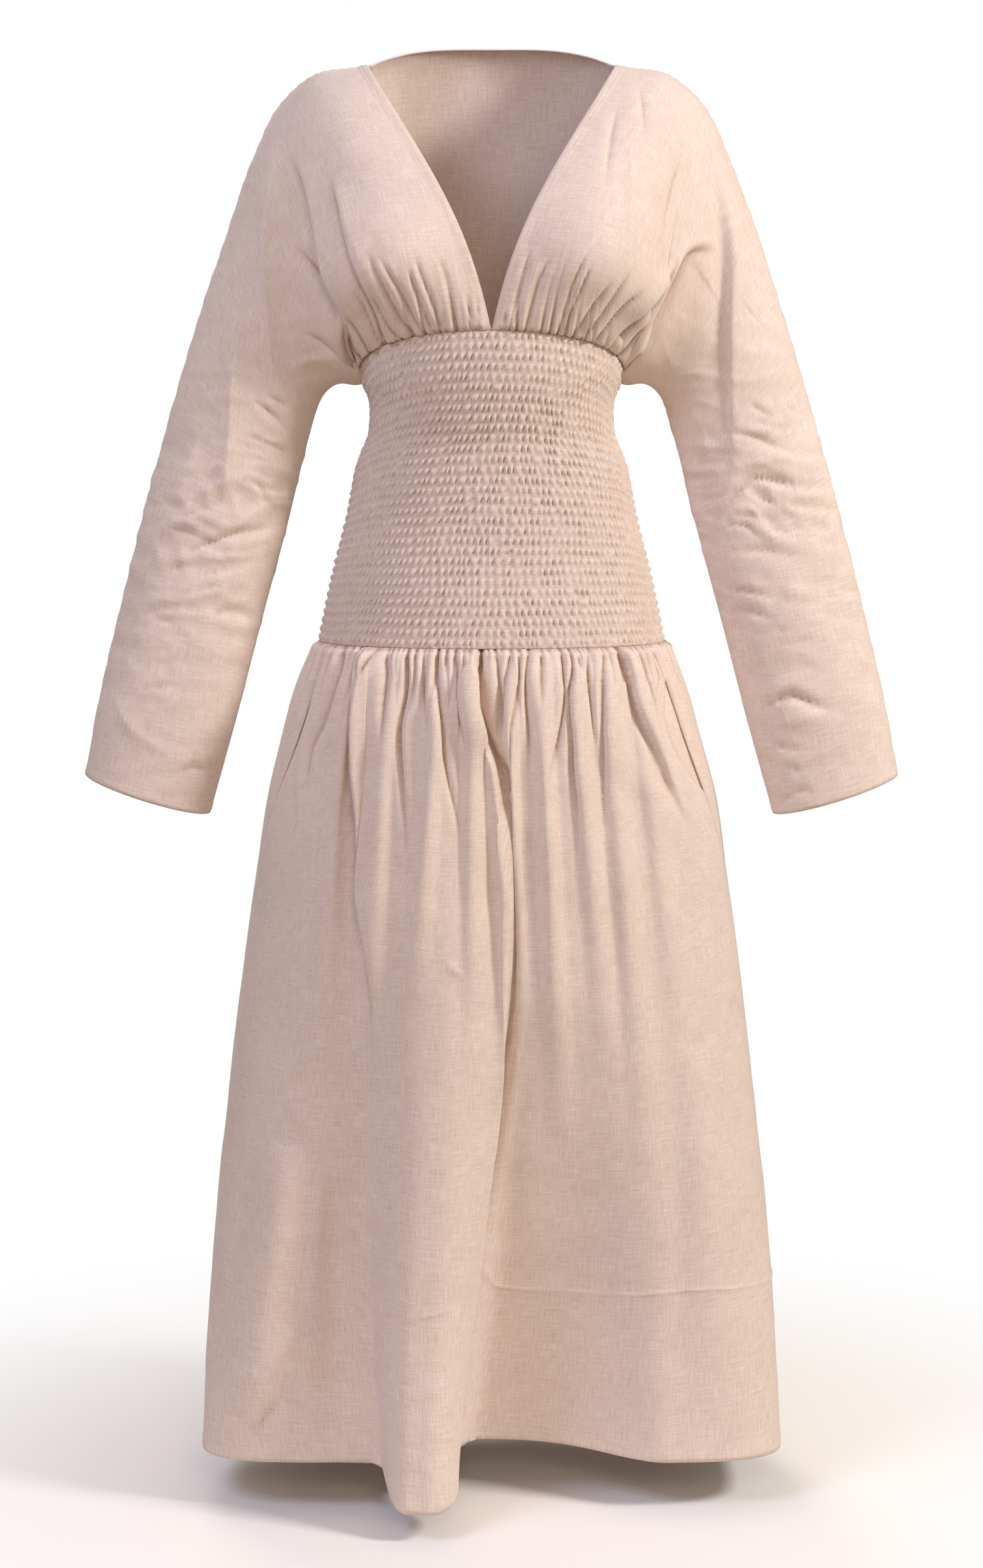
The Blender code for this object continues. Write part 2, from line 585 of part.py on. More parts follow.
def cloth_solid(name, rows):
    """Close an outer and an inner surface into one wall of cloth."""
    outer, outer_levels, inner, inner_levels = rows
    bm = bmesh.new()

    def place(surface):
        return [[(share, bm.verts.new(point)) for share, point in row] for row in surface]

    outer, inner = place(outer), place(inner)
    faces = []
    for surface in (outer, inner):
        for upper, lower in zip(surface, surface[1:]):
            faces += stitch(upper, lower)
    faces += stitch(outer[0], inner[0])
    faces += stitch(outer[-1], inner[-1])
    for end in (0, -1):
        edge_out = [(level, row[end][1]) for level, row in zip(outer_levels, outer)]
        edge_in = [(level, row[end][1]) for level, row in zip(inner_levels, inner)]
        faces += stitch(edge_out, edge_in)
    for corners in faces:
        bm.faces.new(corners)
    bmesh.ops.recalc_face_normals(bm, faces=bm.faces)
    mesh = bpy.data.meshes.new(name)
    bm.to_mesh(mesh)
    bm.free()
    mesh.materials.append(cloth_material())
    mesh.shade_smooth()
    mesh.set_sharp_from_angle(angle=math.radians(50.0))
    piece = bpy.data.objects.new(name, mesh)
    bpy.context.scene.collection.objects.link(piece)
    return piece


def bodice_front_lines():
    return list(gather_lines(BODICE_GATHERS) * ARMPIT) + list(SLEEVE_LINES)


def bodice_back_lines():
    extra = len(BACK_LINES)
    half = list(BACK_CENTRE_LINES) + [line + extra for line in SLEEVE_LINES]
    return [-u for u in reversed(half[1:])] + half


def main():
    for old in list(bpy.data.objects):
        bpy.data.objects.remove(old)
    cloth_solid("bodice_front_l", bodice_rows("front", bodice_front_lines(), False))
    cloth_solid("bodice_front_r", bodice_rows("front", bodice_front_lines(), True))
    cloth_solid("bodice_back", bodice_rows("back", bodice_back_lines(), False))
    cloth_solid("waist_panel_front", panel_rows("front"))
    cloth_solid("waist_panel_back", panel_rows("back"))
    cloth_solid("skirt_front", skirt_rows("front"))
    cloth_solid("skirt_back", skirt_rows("back"))
    cloth_solid("pocket_l", pocket_rows("l"))
    cloth_solid("pocket_r", pocket_rows("r"))


main()
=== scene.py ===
import math

import bpy
import numpy as np
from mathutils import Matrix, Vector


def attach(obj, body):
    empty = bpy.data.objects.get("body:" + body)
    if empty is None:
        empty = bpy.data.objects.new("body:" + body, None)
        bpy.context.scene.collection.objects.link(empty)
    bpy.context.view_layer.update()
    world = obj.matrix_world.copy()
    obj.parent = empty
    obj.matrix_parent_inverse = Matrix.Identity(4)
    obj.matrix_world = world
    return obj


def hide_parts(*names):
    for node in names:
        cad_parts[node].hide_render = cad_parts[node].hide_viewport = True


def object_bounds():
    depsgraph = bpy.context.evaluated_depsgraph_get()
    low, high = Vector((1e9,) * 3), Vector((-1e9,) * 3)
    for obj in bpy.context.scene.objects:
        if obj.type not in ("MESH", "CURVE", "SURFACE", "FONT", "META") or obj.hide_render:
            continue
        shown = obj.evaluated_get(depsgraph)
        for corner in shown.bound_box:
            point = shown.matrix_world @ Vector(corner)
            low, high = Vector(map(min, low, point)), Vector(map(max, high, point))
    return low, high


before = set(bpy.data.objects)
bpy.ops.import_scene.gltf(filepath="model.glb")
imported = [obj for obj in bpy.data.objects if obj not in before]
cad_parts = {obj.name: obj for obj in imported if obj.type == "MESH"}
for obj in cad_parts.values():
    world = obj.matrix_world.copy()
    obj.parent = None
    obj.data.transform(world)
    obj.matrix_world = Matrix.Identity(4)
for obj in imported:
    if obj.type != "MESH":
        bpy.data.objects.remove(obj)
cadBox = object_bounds()

mm = 0.001
seamHalfGap = 0.05 * mm     # each cut edge stands this far back from the seam line
hipSeam = -0.5605           # height of the seam between the shirred panel and the skirt
gatherDepth = 8.0 * mm      # how deep the gathered edges reach at the bust and hip seams
hemStitchInset = 1.5 * mm   # the stitches run this far inside the turned edge of a hem


# Curves and noise

def clamp01(t):
    return np.clip(t, 0.0, 1.0)


def ease(t):
    t = clamp01(t)
    return t * t * (3.0 - 2.0 * t)


def spline(knots, values, at):
    # natural cubic through rows of values, one row for each knot
    knots = np.asarray(knots, dtype=float)
    values = np.asarray(values, dtype=float)
    at = np.atleast_1d(np.asarray(at, dtype=float))
    count = len(knots)
    gaps = np.diff(knots)
    matrix = np.eye(count)
    right = np.zeros_like(values)
    for i in range(1, count - 1):
        matrix[i, i - 1] = gaps[i - 1]
        matrix[i, i] = 2.0 * (gaps[i - 1] + gaps[i])
        matrix[i, i + 1] = gaps[i]
        right[i] = 6.0 * ((values[i + 1] - values[i]) / gaps[i] - (values[i] - values[i - 1]) / gaps[i - 1])
    bend = np.linalg.solve(matrix, right)
    k = np.clip(np.searchsorted(knots, at, side="right") - 1, 0, count - 2)
    h = gaps[k]
    b = (at - knots[k]) / h
    a = 1.0 - b
    if values.ndim == 2:
        a, b, h = a[:, None], b[:, None], h[:, None]
    curve = (a ** 3 - a) * bend[k] + (b ** 3 - b) * bend[k + 1]
    return a * values[k] + b * values[k + 1] + curve * h * h / 6.0


def inMetres(columns, rows, *plain):
    # a table given in mm, with the columns named last left as they are
    scales = [1.0 if name in plain else mm for name in columns]
    return [[value if scale == 1.0 else value * scale for value, scale in zip(row, scales)] for row in rows]


def readTable(rows, columns, z, *names):
    # named columns of a table of heights; its rows run downwards
    depth = [-row[0] for row in rows]
    wanted = [[row[columns.index(name)] for name in names] for row in rows]
    z = np.clip(z, rows[-1][0], rows[0][0])
    return spline(depth, wanted, -z).T


def wander(x, y, size, seed):
    # smooth noise from -1 to 1 with bumps about as large as size
    cells = 64
    table = np.random.default_rng(seed).uniform(-1.0, 1.0, (cells, cells))
    gx, gy = x / size, y / size
    ix, iy = np.floor(gx).astype(int), np.floor(gy).astype(int)
    fx, fy = ease(gx - ix), ease(gy - iy)
    a = table[ix % cells, iy % cells]
    b = table[(ix + 1) % cells, iy % cells]
    c = table[ix % cells, (iy + 1) % cells]
    d = table[(ix + 1) % cells, (iy + 1) % cells]
    return (a * (1 - fx) + b * fx) * (1 - fy) + (c * (1 - fx) + d * fx) * fy


def rumple(x, y, seed, coarse=0.8, fine=0.07):
    # worn cloth is never flat: slow swells with smaller ones on them; coarse and fine are in mm
    high = coarse * wander(0.9 * x + 0.4 * y, 0.9 * y - 0.4 * x, 0.052, seed)
    high += 0.4 * coarse * wander(0.6 * x - 0.8 * y, 0.6 * y + 0.8 * x, 0.026, seed + 1)
    high += fine * wander(0.8 * x + 0.6 * y, 0.8 * y - 0.6 * x, 0.011, seed + 2)
    return high * mm


elbow = {
    "height": -0.44,
    "spread": 0.11,      # how far up and down the deeper creases reach
    "elsewhere": 1.2,    # mm that the creases of a sleeve stand out
    "creases": 3.4,      # mm more at the elbow
}


def wrinkles(x, z, seed):
    # creases that run across a sleeve, most of them at the elbow
    bent = z + 0.014 * wander(x, z, 0.05, seed)
    high = 0.5 - np.abs(wander(0.4 * x, bent, 0.021, seed + 1))
    high += 0.5 * (0.5 - np.abs(wander(0.5 * x + 0.2 * z, bent, 0.012, seed + 2)))
    near = np.exp(-((z - elbow["height"]) / elbow["spread"]) ** 2)
    return high * (elbow["elsewhere"] + elbow["creases"] * near) * mm


# Folds and creases are grouped by their kind and by which ends of them fade. Each row gives a height and
# a width and then a route, as the x and z of each of its points, all in mm, on the worn dress seen from
# the front. A valley is a sharp crease between two rounded shoulders, and a ridge is a raised line.
# A lap is a fold that lies over the next one: raised on the right of a route that runs down, or on the
# left if its height is negative.

def smoothRoute(points, perSpan=6):
    if len(points) == 2:
        return points[0] + (points[1] - points[0]) * np.linspace(0.0, 1.0, perSpan + 1)[:, None]
    at = np.linspace(0.0, len(points) - 1, (len(points) - 1) * perSpan + 1)
    return spline(range(len(points)), points, at)


def nearRoute(x, z, route):
    # distance to a route, the side that a point is on, and how far along it is
    best = np.full(x.shape, 1e9)
    side = np.ones(x.shape)
    share = np.zeros(x.shape)
    lengths = np.linalg.norm(np.diff(route, axis=0), axis=1)
    total = lengths.sum()
    done = 0.0
    for (ax, az), (bx, bz), length in zip(route, route[1:], lengths):
        ux, uz = (bx - ax) / length, (bz - az) / length
        along = np.clip((x - ax) * ux + (z - az) * uz, 0.0, length)
        dx, dz = x - ax - along * ux, z - az - along * uz
        gap = dx * dx + dz * dz
        closer = gap < best
        best = np.where(closer, gap, best)
        side = np.where(closer, np.sign(ux * dz - uz * dx), side)
        share = np.where(closer, (done + along) / total, share)
        done += length
    return np.sqrt(best), side, share


def foldShape(kind, gap, side, width):
    # profile across a fold whose height is 1
    if kind == "valley":
        return 0.85 * np.exp(-(gap / (2.6 * width)) ** 2) - 1.6 * np.exp(-(gap / (1.2 * width)) ** 0.9)
    if kind == "ridge":
        return np.exp(-(gap / (1.2 * width)) ** 1.1)
    return side * np.tanh(gap / (0.22 * width)) * np.exp(-(gap / (1.7 * width)) ** 1.3)


def foldRelief(x, z, folds, strength=1.0):
    total = np.zeros(x.shape)
    rows = [(kind, fades, row) for (kind, fades), group in folds.items() for row in group]
    for kind, fades, (height, width, *numbers) in rows:
        reach = 5.0 * width * mm
        route = smoothRoute(np.array(numbers, dtype=float).reshape(-1, 2) * mm)
        low, high = route.min(axis=0) - reach, route.max(axis=0) + reach
        near = (x > low[0]) & (x < high[0]) & (z > low[1]) & (z < high[1])
        if not near.any():
            continue
        gap, side, share = nearRoute(x[near], z[near], route)
        fade = np.ones(gap.shape)
        if fades in ("both", "start"):
            fade *= ease(share / 0.35)
        if fades in ("both", "end"):
            fade *= ease((1.0 - share) / 0.55)
        total[near] += height * mm * fade * foldShape(kind, gap, side, width * mm)
    return total * strength


def ruffles(along, fall, pitch, depth, seed):
    # the many small gathers that a seam draws up: depth in mm, each one as long as chance has it
    kinds = 256
    random = np.random.default_rng(seed)
    p = along / pitch + 0.9 * wander(along, 0.0, 0.021, seed)
    number = np.floor(p + 0.5).astype(int) % kinds
    gap = 2.0 * np.abs(p - np.floor(p + 0.5))
    deep = random.uniform(0.45, 1.25, kinds)[number]
    reach = random.choice([0.008, 0.014, 0.024, 0.042], kinds)[number]
    crease = np.exp(-(gap / 0.42) ** 1.1)
    return depth * deep * (0.35 - crease) * np.exp(-(fall / reach) ** 1.4) * mm


# Meshes

def addObject(name, data):
    made = bpy.data.objects.new(name, data)
    bpy.context.scene.collection.objects.link(made)
    return made


def gridNormals(points):
    down = np.gradient(points, axis=0)
    across = np.gradient(points, axis=1)
    normal = np.cross(down, across)
    return normal / np.maximum(np.linalg.norm(normal, axis=2, keepdims=True), 1e-12)


def lowestNear(height):
    # the lowest of each point and its eight neighbours
    padded = np.pad(height, 1, mode="edge")
    rows, cols = height.shape
    views = [padded[i:i + rows, j:j + cols] for i in range(3) for j in range(3)]
    return np.min(views, axis=0)


def hollows(height):
    # 0 to 1: how far each point lies below the cloth around it
    fullDepth = 1.6 * mm
    around = height
    for _ in range(7):
        padded = np.pad(around, 1, mode="edge")
        around = (padded[:-2, 1:-1] + padded[2:, 1:-1] + padded[1:-1, :-2] + padded[1:-1, 2:] + around) / 5.0
    return clamp01((around - height) / fullDepth)


def gridDistances(points):
    # metres down each column from the first row, and along each row from the first column
    down = np.linalg.norm(np.diff(points, axis=0), axis=2)
    across = np.linalg.norm(np.diff(points, axis=1), axis=2)
    fromTop = np.vstack([np.zeros(points.shape[1]), np.cumsum(down, axis=0)])
    along = np.hstack([np.zeros((len(points), 1)), np.cumsum(across, axis=1)])
    return fromTop, along


def clothShell(name, base, normals, height, wall, material, thin=(2, 2), seamDepth=(0.0, 0.0), gathered=0.2):
    # a closed wall: a fine outer grid, a sparser inner grid of every few rows and columns,
    # and rims that join them; seamDepth is how deep the gathered edges at the top and foot reach,
    # and gathered, from 0 to 1, is how strongly painted shade is laid into the creases
    outer = base + normals * height[:, :, None]
    rows, cols = height.shape
    pickRows = np.arange(0, rows, thin[0])
    pickCols = np.arange(0, cols, thin[1])
    floor = height
    for _ in range(max(thin)):
        floor = lowestNear(floor)
    floor = floor - wall
    floor[:, 0], floor[:, -1] = height[:, 0] - wall, height[:, -1] - wall
    floor[0] = np.minimum(height[0] - wall, -seamDepth[0])
    floor[-1] = np.minimum(height[-1] - wall, -seamDepth[1])
    inner = (base + normals * floor[:, :, None])[np.ix_(pickRows, pickCols)]
    fromTop, along = gridDistances(base)
    uv = np.stack([np.broadcast_to(along.mean(axis=0), along.shape), -fromTop], axis=2)   # for the weave
    points = np.vstack([outer.reshape(-1, 3), inner.reshape(-1, 3)])
    uvs = np.vstack([uv.reshape(-1, 2), uv[np.ix_(pickRows, pickCols)].reshape(-1, 2)])
    o = np.arange(rows * cols).reshape(rows, cols)
    i = np.arange(len(pickRows) * len(pickCols)).reshape(len(pickRows), len(pickCols)) + rows * cols
    quads = [np.stack([o[:-1, :-1], o[1:, :-1], o[1:, 1:], o[:-1, 1:]], axis=2).reshape(-1, 4)]
    quads.append(np.stack([i[:-1, :-1], i[:-1, 1:], i[1:, 1:], i[1:, :-1]], axis=2).reshape(-1, 4))
    triangles = []
    rims = ((o[0], i[0], thin[1]), (o[-1][::-1], i[-1][::-1], thin[1]),
            (o[:, 0][::-1], i[:, 0][::-1], thin[0]), (o[:, -1], i[:, -1], thin[0]))
    for edge, lining, step in rims:
        corners = edge[::step]
        for k in range(step):
            triangles.append(np.stack([edge[k:len(edge) - 1:step], edge[k + 1::step], lining[:-1]], axis=1))
        triangles.append(np.stack([corners[1:], lining[1:], lining[:-1]], axis=1))
    faces = np.vstack(quads).tolist() + np.vstack(triangles).tolist()
    mesh = bpy.data.meshes.new(name)
    mesh.from_pydata(points, [], faces)
    layer = mesh.uv_layers.new(name="cloth")
    # painted shade: the deeper a crease, the darker it is painted
    low = hollows(height) * gathered
    shade = mesh.attributes.new("paintedShadeAmount", "FLOAT", "POINT")
    shade.data.foreach_set("value", np.concatenate([low.ravel(), np.zeros(len(points) - low.size)]))
    corner = np.zeros(len(mesh.loops), dtype=np.int32)
    mesh.loops.foreach_get("vertex_index", corner)
    layer.data.foreach_set("uv", uvs[corner].astype(np.float32).ravel())
    mesh.shade_smooth()
    mesh.materials.append(material)
    mesh.update()
    area = sum(face.area for face in mesh.polygons) / 2.0
    count = sum(len(face) - 2 for face in faces)
    print("shell", name, count, "triangles,", round(area, 4), "square metres of cloth")
    return addObject(name, mesh), outer


# Materials

def colour(code):
    # sRGB hex to linear
    parts = [int(code[i:i + 2], 16) / 255.0 for i in (1, 3, 5)]
    linear = [c / 12.92 if c <= 0.04045 else ((c + 0.055) / 1.055) ** 2.4 for c in parts]
    return (*linear, 1.0)


def addNode(tree, kind, settings=None, values=None, links=None):
    # one node with its settings, its socket values and what feeds it: a socket, or a node's first output
    node = tree.nodes.new(kind)
    for key, value in (settings or {}).items():
        setattr(node, key, value)
    for key, value in (values or {}).items():
        node.inputs[key].default_value = value
    for key, source in (links or {}).items():
        tree.links.new(getattr(source, "outputs", (source,))[0], node.inputs[key])
    return node


def newMaterial(name, values):
    material = bpy.data.materials.new(name)
    material.use_nodes = True
    shader = material.node_tree.nodes["Principled BSDF"]
    for key, value in values.items():
        shader.inputs[key].default_value = value
    return material, material.node_tree, shader


clothLook = {
    "cream": "#E0CFC4",         # the cloth's middle colour
    "paleSlub": "#EFE3DB",      # thick undyed flax threads
    "darkSlub": "#D1BBAE",      # thick threads that kept some of the flax's own brown
    "paintedShadeTone": "#A97F5E",    # painted shade in the creases, warm as light that has passed through several layers
    "paintedShadeStrength": 0.8,         # how strongly that painted shade is laid on in a gathered crease
    "bandPitch": 6.91 * mm,     # faint unevenness of the weave; threads 0.5 mm apart are too fine to show
    "slubLength": 20.0 * mm,
    "slubWidth": 1.1 * mm,
    "surface": {"Roughness": 0.92, "Sheen Weight": 0.2, "Sheen Roughness": 0.5, "IOR": 1.47,
                "Specular IOR Level": 0.25},
}


def cottonLinen(name, look, paintedShadeTint=1.0):
    # cotton and flax plain weave, washed and left matt: slubby threads both ways, a faint nap
    material, tree, shader = newMaterial(name, look["surface"])
    place = addNode(tree, "ShaderNodeUVMap", {"uv_map": "cloth"})
    slubs = []
    for long, short in ((look["slubLength"], look["slubWidth"]), (look["slubWidth"], look["slubLength"])):
        stretch = addNode(tree, "ShaderNodeMapping", values={"Scale": (1.0 / long, 1.0 / short, 1.0)},
                          links={"Vector": place})
        noise = addNode(tree, "ShaderNodeTexNoise", {"noise_dimensions": "2D"},
                        {"Scale": 1.0, "Detail": 3.0, "Roughness": 0.65}, {"Vector": stretch})
        slubs.append(noise)
    both = addNode(tree, "ShaderNodeMath", {"operation": "ADD"}, links={0: slubs[0], 1: slubs[1]})
    spread = addNode(tree, "ShaderNodeMapRange", values={"From Min": 0.55, "From Max": 1.45},
                     links={"Value": both})
    ramp = addNode(tree, "ShaderNodeValToRGB", links={"Fac": spread})
    dark, middle, pale = colour(look["darkSlub"]), colour(look["cream"]), colour(look["paleSlub"])
    ramp.color_ramp.elements[0].color = dark
    ramp.color_ramp.elements[1].color = pale
    ramp.color_ramp.elements.new(0.5).color = middle
    # faint clouds about 70 mm wide, from wear and washing, times a tint that is painted shade for the shirred
    # cloth
    cloud = addNode(tree, "ShaderNodeTexNoise", {"noise_dimensions": "2D"},
                    {"Scale": 14.0, "Detail": 4.0, "Roughness": 0.55}, {"Vector": place})
    wearAndPaintedShade = addNode(tree, "ShaderNodeMapRange", links={"Value": cloud},
                   values={"From Min": 0.3, "From Max": 0.7, "To Min": 0.975 * paintedShadeTint, "To Max": 1.02 * paintedShadeTint})
    shade = addNode(tree, "ShaderNodeVectorMath", {"operation": "SCALE"},
                    links={"Vector": ramp, "Scale": wearAndPaintedShade})
    # painted shade: gathered cloth doubles over in its creases and shades them more deeply than the one layer
    # made here, so that shade is painted in
    crease = addNode(tree, "ShaderNodeAttribute", {"attribute_name": "paintedShadeAmount"})
    amount = addNode(tree, "ShaderNodeMath", {"operation": "MULTIPLY"}, {1: look["paintedShadeStrength"]},
                     {0: crease.outputs["Fac"]})
    paintedShadeMix = addNode(tree, "ShaderNodeMix", {"data_type": "RGBA", "blend_type": "MULTIPLY"},
                      {7: colour(look["paintedShadeTone"])}, {0: amount, 6: shade})
    tree.links.new(paintedShadeMix.outputs[2], shader.inputs["Base Color"])
    waveTurn = 20.0   # radians that a Wave texture of scale 1 turns through in a metre
    bands = []
    for axis in ("X", "Y"):
        wave = addNode(tree, "ShaderNodeTexWave",
                       {"wave_type": "BANDS", "bands_direction": axis, "wave_profile": "SIN"},
                       {"Scale": math.tau / (look["bandPitch"] * waveTurn), "Distortion": 0.6, "Detail": 1.0,
                        "Detail Scale": 1.5}, {"Vector": place})
        bands.append(wave.outputs["Fac"])
    weave = addNode(tree, "ShaderNodeMath", {"operation": "MULTIPLY"}, links={0: bands[0], 1: bands[1]})
    rough = addNode(tree, "ShaderNodeMath", {"operation": "ADD"}, links={0: weave, 1: both})
    relief = addNode(tree, "ShaderNodeBump", values={"Strength": 0.3, "Distance": 0.12 * mm},
                     links={"Height": rough})
    tree.links.new(relief.outputs["Normal"], shader.inputs["Normal"])
    return material


cloth = cottonLinen("cottonLinenPlainWeave", clothLook)
shirred = cottonLinen("cottonLinenShirredPaintedShade", clothLook, 0.93)   # painted shade: darker all over, for the shadow of creases too fine to make


def sewingThread():
    # spun polyester sewing thread, dyed to match, with a slight gloss
    material, tree, shader = newMaterial("spunPolyesterThread", {"Roughness": 0.55, "IOR": 1.5})
    place = addNode(tree, "ShaderNodeTexCoord")
    # flecks about 1 mm long, from the twist of the thread
    twist = addNode(tree, "ShaderNodeTexNoise", values={"Scale": 900.0, "Detail": 1.0},
                    links={"Vector": place.outputs["Object"]})
    ramp = addNode(tree, "ShaderNodeValToRGB", links={"Fac": twist})
    ramp.color_ramp.elements[0].color = colour("#DCC6B2")
    ramp.color_ramp.elements[1].color = colour("#F2E6DA")
    tree.links.new(ramp.outputs["Color"], shader.inputs["Base Color"])
    return material


thread = sewingThread()
print("materials made")


# Shirred panel, from under the bust to the hip

shirring = {
    "rows": 31,             # elastic rows
    "puffs": 59,            # puckers across the front, and across the back, at the waist
    "morePuffs": 14,        # more of them at the hip
    "bulge": 0.7,           # mm that a row stands out between two elastic lines
    "pucker": 3.8,          # mm from the creases to the tops of the puckers
    "band": 0.5,            # mm height of the ruffle on the seamed edges
    "lean": (0.9, 0.2),     # how far the puckers lean, in widths of one, at the two ends of a row
    "gridRows": (0.0, 0.2, 0.38, 0.62, 0.8),   # where the shell's rows lie between two elastic lines
    "columns": {"front": 500, "back": 400},
    "wall": 1.0 * mm,
    "square": 2.15,         # 2 would be an ellipse
    "paintedShadeStrength": 0.62,    # share of the full painted crease shade, which the material gives
    "seed": 11,
}
bustSeamCentre, bustSeamDrop, bustSeamCurve = -0.2575, 0.048, 2.1   # it dips towards the side seams
panelColumns = ("z", "halfWidth", "front", "back")
panelSections = inMetres(panelColumns, (
    (-257.5, 132, 108, 85),
    (-307.6, 126.2, 106, 84),
    (-323, 119.8, 103, 81),
    (-343, 118.8, 99, 79),
    (-360, 121.2, 95, 78),
    (-374, 127.2, 94, 79),
    (-425.7, 139.8, 95, 89),
    (-489.9, 155.8, 103, 106),
    (-560.5, 171, 114, 121),
))


def unitBox(turn, square):
    # point of a rounded box of half size 1; turn is 0 at the front, in radians
    s, c = np.sin(turn), np.cos(turn)
    radius = (np.abs(s) ** square + np.abs(c) ** square) ** (-1.0 / square)
    return radius * s, radius * c


def bustSeam(angle, side):
    share = np.ones_like(angle) if side == "back" else np.abs(angle) / 90.0
    return bustSeamCentre - bustSeamDrop * share ** bustSeamCurve


def panelPlan(angle, z, side):
    half, front, back = readTable(panelSections, panelColumns, z, "halfWidth", "front", "back")
    sx, cy = unitBox(np.radians(angle), shirring["square"])
    y = -front * cy if side == "front" else back * cy
    x = half * sx if side == "front" else -half * sx
    return x, y


def waistPanel(side):
    toward = -1.0 if side == "front" else 1.0
    cols = shirring["columns"][side] + 1
    angle = np.linspace(-90.0, 90.0, cols)
    rows = shirring["rows"]
    level = np.concatenate([k + np.array(shirring["gridRows"]) for k in range(rows)] + [[rows]])
    rowNumber = np.minimum(np.floor(level), rows - 1).astype(int)
    f = (level - rowNumber)[:, None]
    top = bustSeam(angle, side) - seamHalfGap
    low = hipSeam + seamHalfGap
    share = np.linspace(0.0, 1.0, cols)
    down = level[:, None]
    sway = 0.9 * mm * wander(share * 0.5, down * 0.011, 0.03, 5)
    inside = ease(down / 2.0) * ease((rows - down) / 2.0)
    z = top + (low - top) * down / rows + sway * inside
    x = np.zeros_like(z)
    y = np.zeros_like(z)
    for r in range(len(level)):
        x[r], y[r] = panelPlan(angle, z[r], side)
    base = np.stack([x, y + toward * seamHalfGap, z], axis=2)
    normals = gridNormals(base)
    normals[0, :, 2] = 0.0
    normals[-1, :, 2] = 0.0
    normals[:, 0, 1] = 0.0
    normals[:, -1, 1] = 0.0
    normals /= np.linalg.norm(normals, axis=2, keepdims=True)
    random = np.random.default_rng(shirring["seed"] + (side == "back"))
    start = random.uniform(0.0, 1.0, rows)[rowNumber][:, None]
    stretch = random.uniform(0.97, 1.03, rows)[rowNumber][:, None]
    hipward = ease((rowNumber[:, None] / rows - 0.35) / 0.6)
    count = (shirring["puffs"] + shirring["morePuffs"] * hipward) * stretch
    leanStart, leanEnd = shirring["lean"]
    lean = leanStart + (leanEnd - leanStart) * share
    lean = lean + 0.4 * wander(share, 0.05 * down, 0.09, 8)
    p = share * count + start
    p = p + 0.5 * wander(p * 0.01, rowNumber[:, None] * 0.013, 0.017, 9) + lean * (f - 0.5)
    gap = np.abs(p - np.floor(p + 0.5))   # 0 in a crease, 0.5 on a pucker
    depths = random.uniform(0.55, 1.15, (rows, 128))
    deep = depths[rowNumber[:, None], np.floor(p + 0.5).astype(int) % 128]
    between = np.sin(math.pi * f)
    window = ease((between - 0.45) / 0.4)
    high = shirring["bulge"] * ease((between - 0.3) / 0.6)
    high = high + shirring["pucker"] * deep * window * (np.sin(math.pi * gap) ** 1.3 - 0.62)
    seamed = np.maximum(1.0 - ease(down / 0.55), 1.0 - ease((rows - down) / 0.55))
    ruffle = np.cos(2.0 * math.pi * (p * 1.25 + 0.4 * f))
    high = high * (1.0 - seamed) + shirring["band"] * ruffle * seamed
    edge = ease(share / 0.012) * ease((1.0 - share) / 0.012)
    height = high * edge * mm
    return clothShell("waist_panel_" + side + "_cloth", base, normals, height, shirring["wall"], shirred,
                      (5, 4), (gatherDepth, gatherDepth), shirring["paintedShadeStrength"])


panelFront, _ = waistPanel("front")
panelBack, _ = waistPanel("back")


# Bodice with sleeves cut in one

bodice = {
    "wall": 1.2 * mm,
    "cuffDip": 4.0 * mm,
    "neckBand": 8.5 * mm,     # turned neck hem
    "cuffBand": 9.0 * mm,
    "rows": 141,              # lines from the overarm seam down to the waist or underarm seam
    "frontColumns": 321,
    "backColumns": 401,
    "foldStrength": 1.7,      # front folds and sleeve wrinkles, over the heights in their tables
    "sleeveStrength": 1.5,
    "backSleeveStrength": 0.6,
    "blouse": 3.0,            # mm that the fronts puff out over the bust seam
    "gatherPitch": {"front": 0.0082, "back": 0.0085},
    "gatherHeight": {"front": 4.6, "back": 4.2},   # mm
    "seeds": {"l": (35, 31, 37), "r": (25, 21, 27), "back": (45, 41, 47)},   # gathers, rumples, wrinkles
}
neckHalfWidth, backNeckDepth, backNeckRise, backNeckCurve = 0.1208, 0.065, 0.0216, 3.4
stationColumns = ("xTop", "zTop", "xLow", "zLow", "midY", "bow", "roundLow",
                  "front1", "front2", "front3", "back1", "back2", "back3")
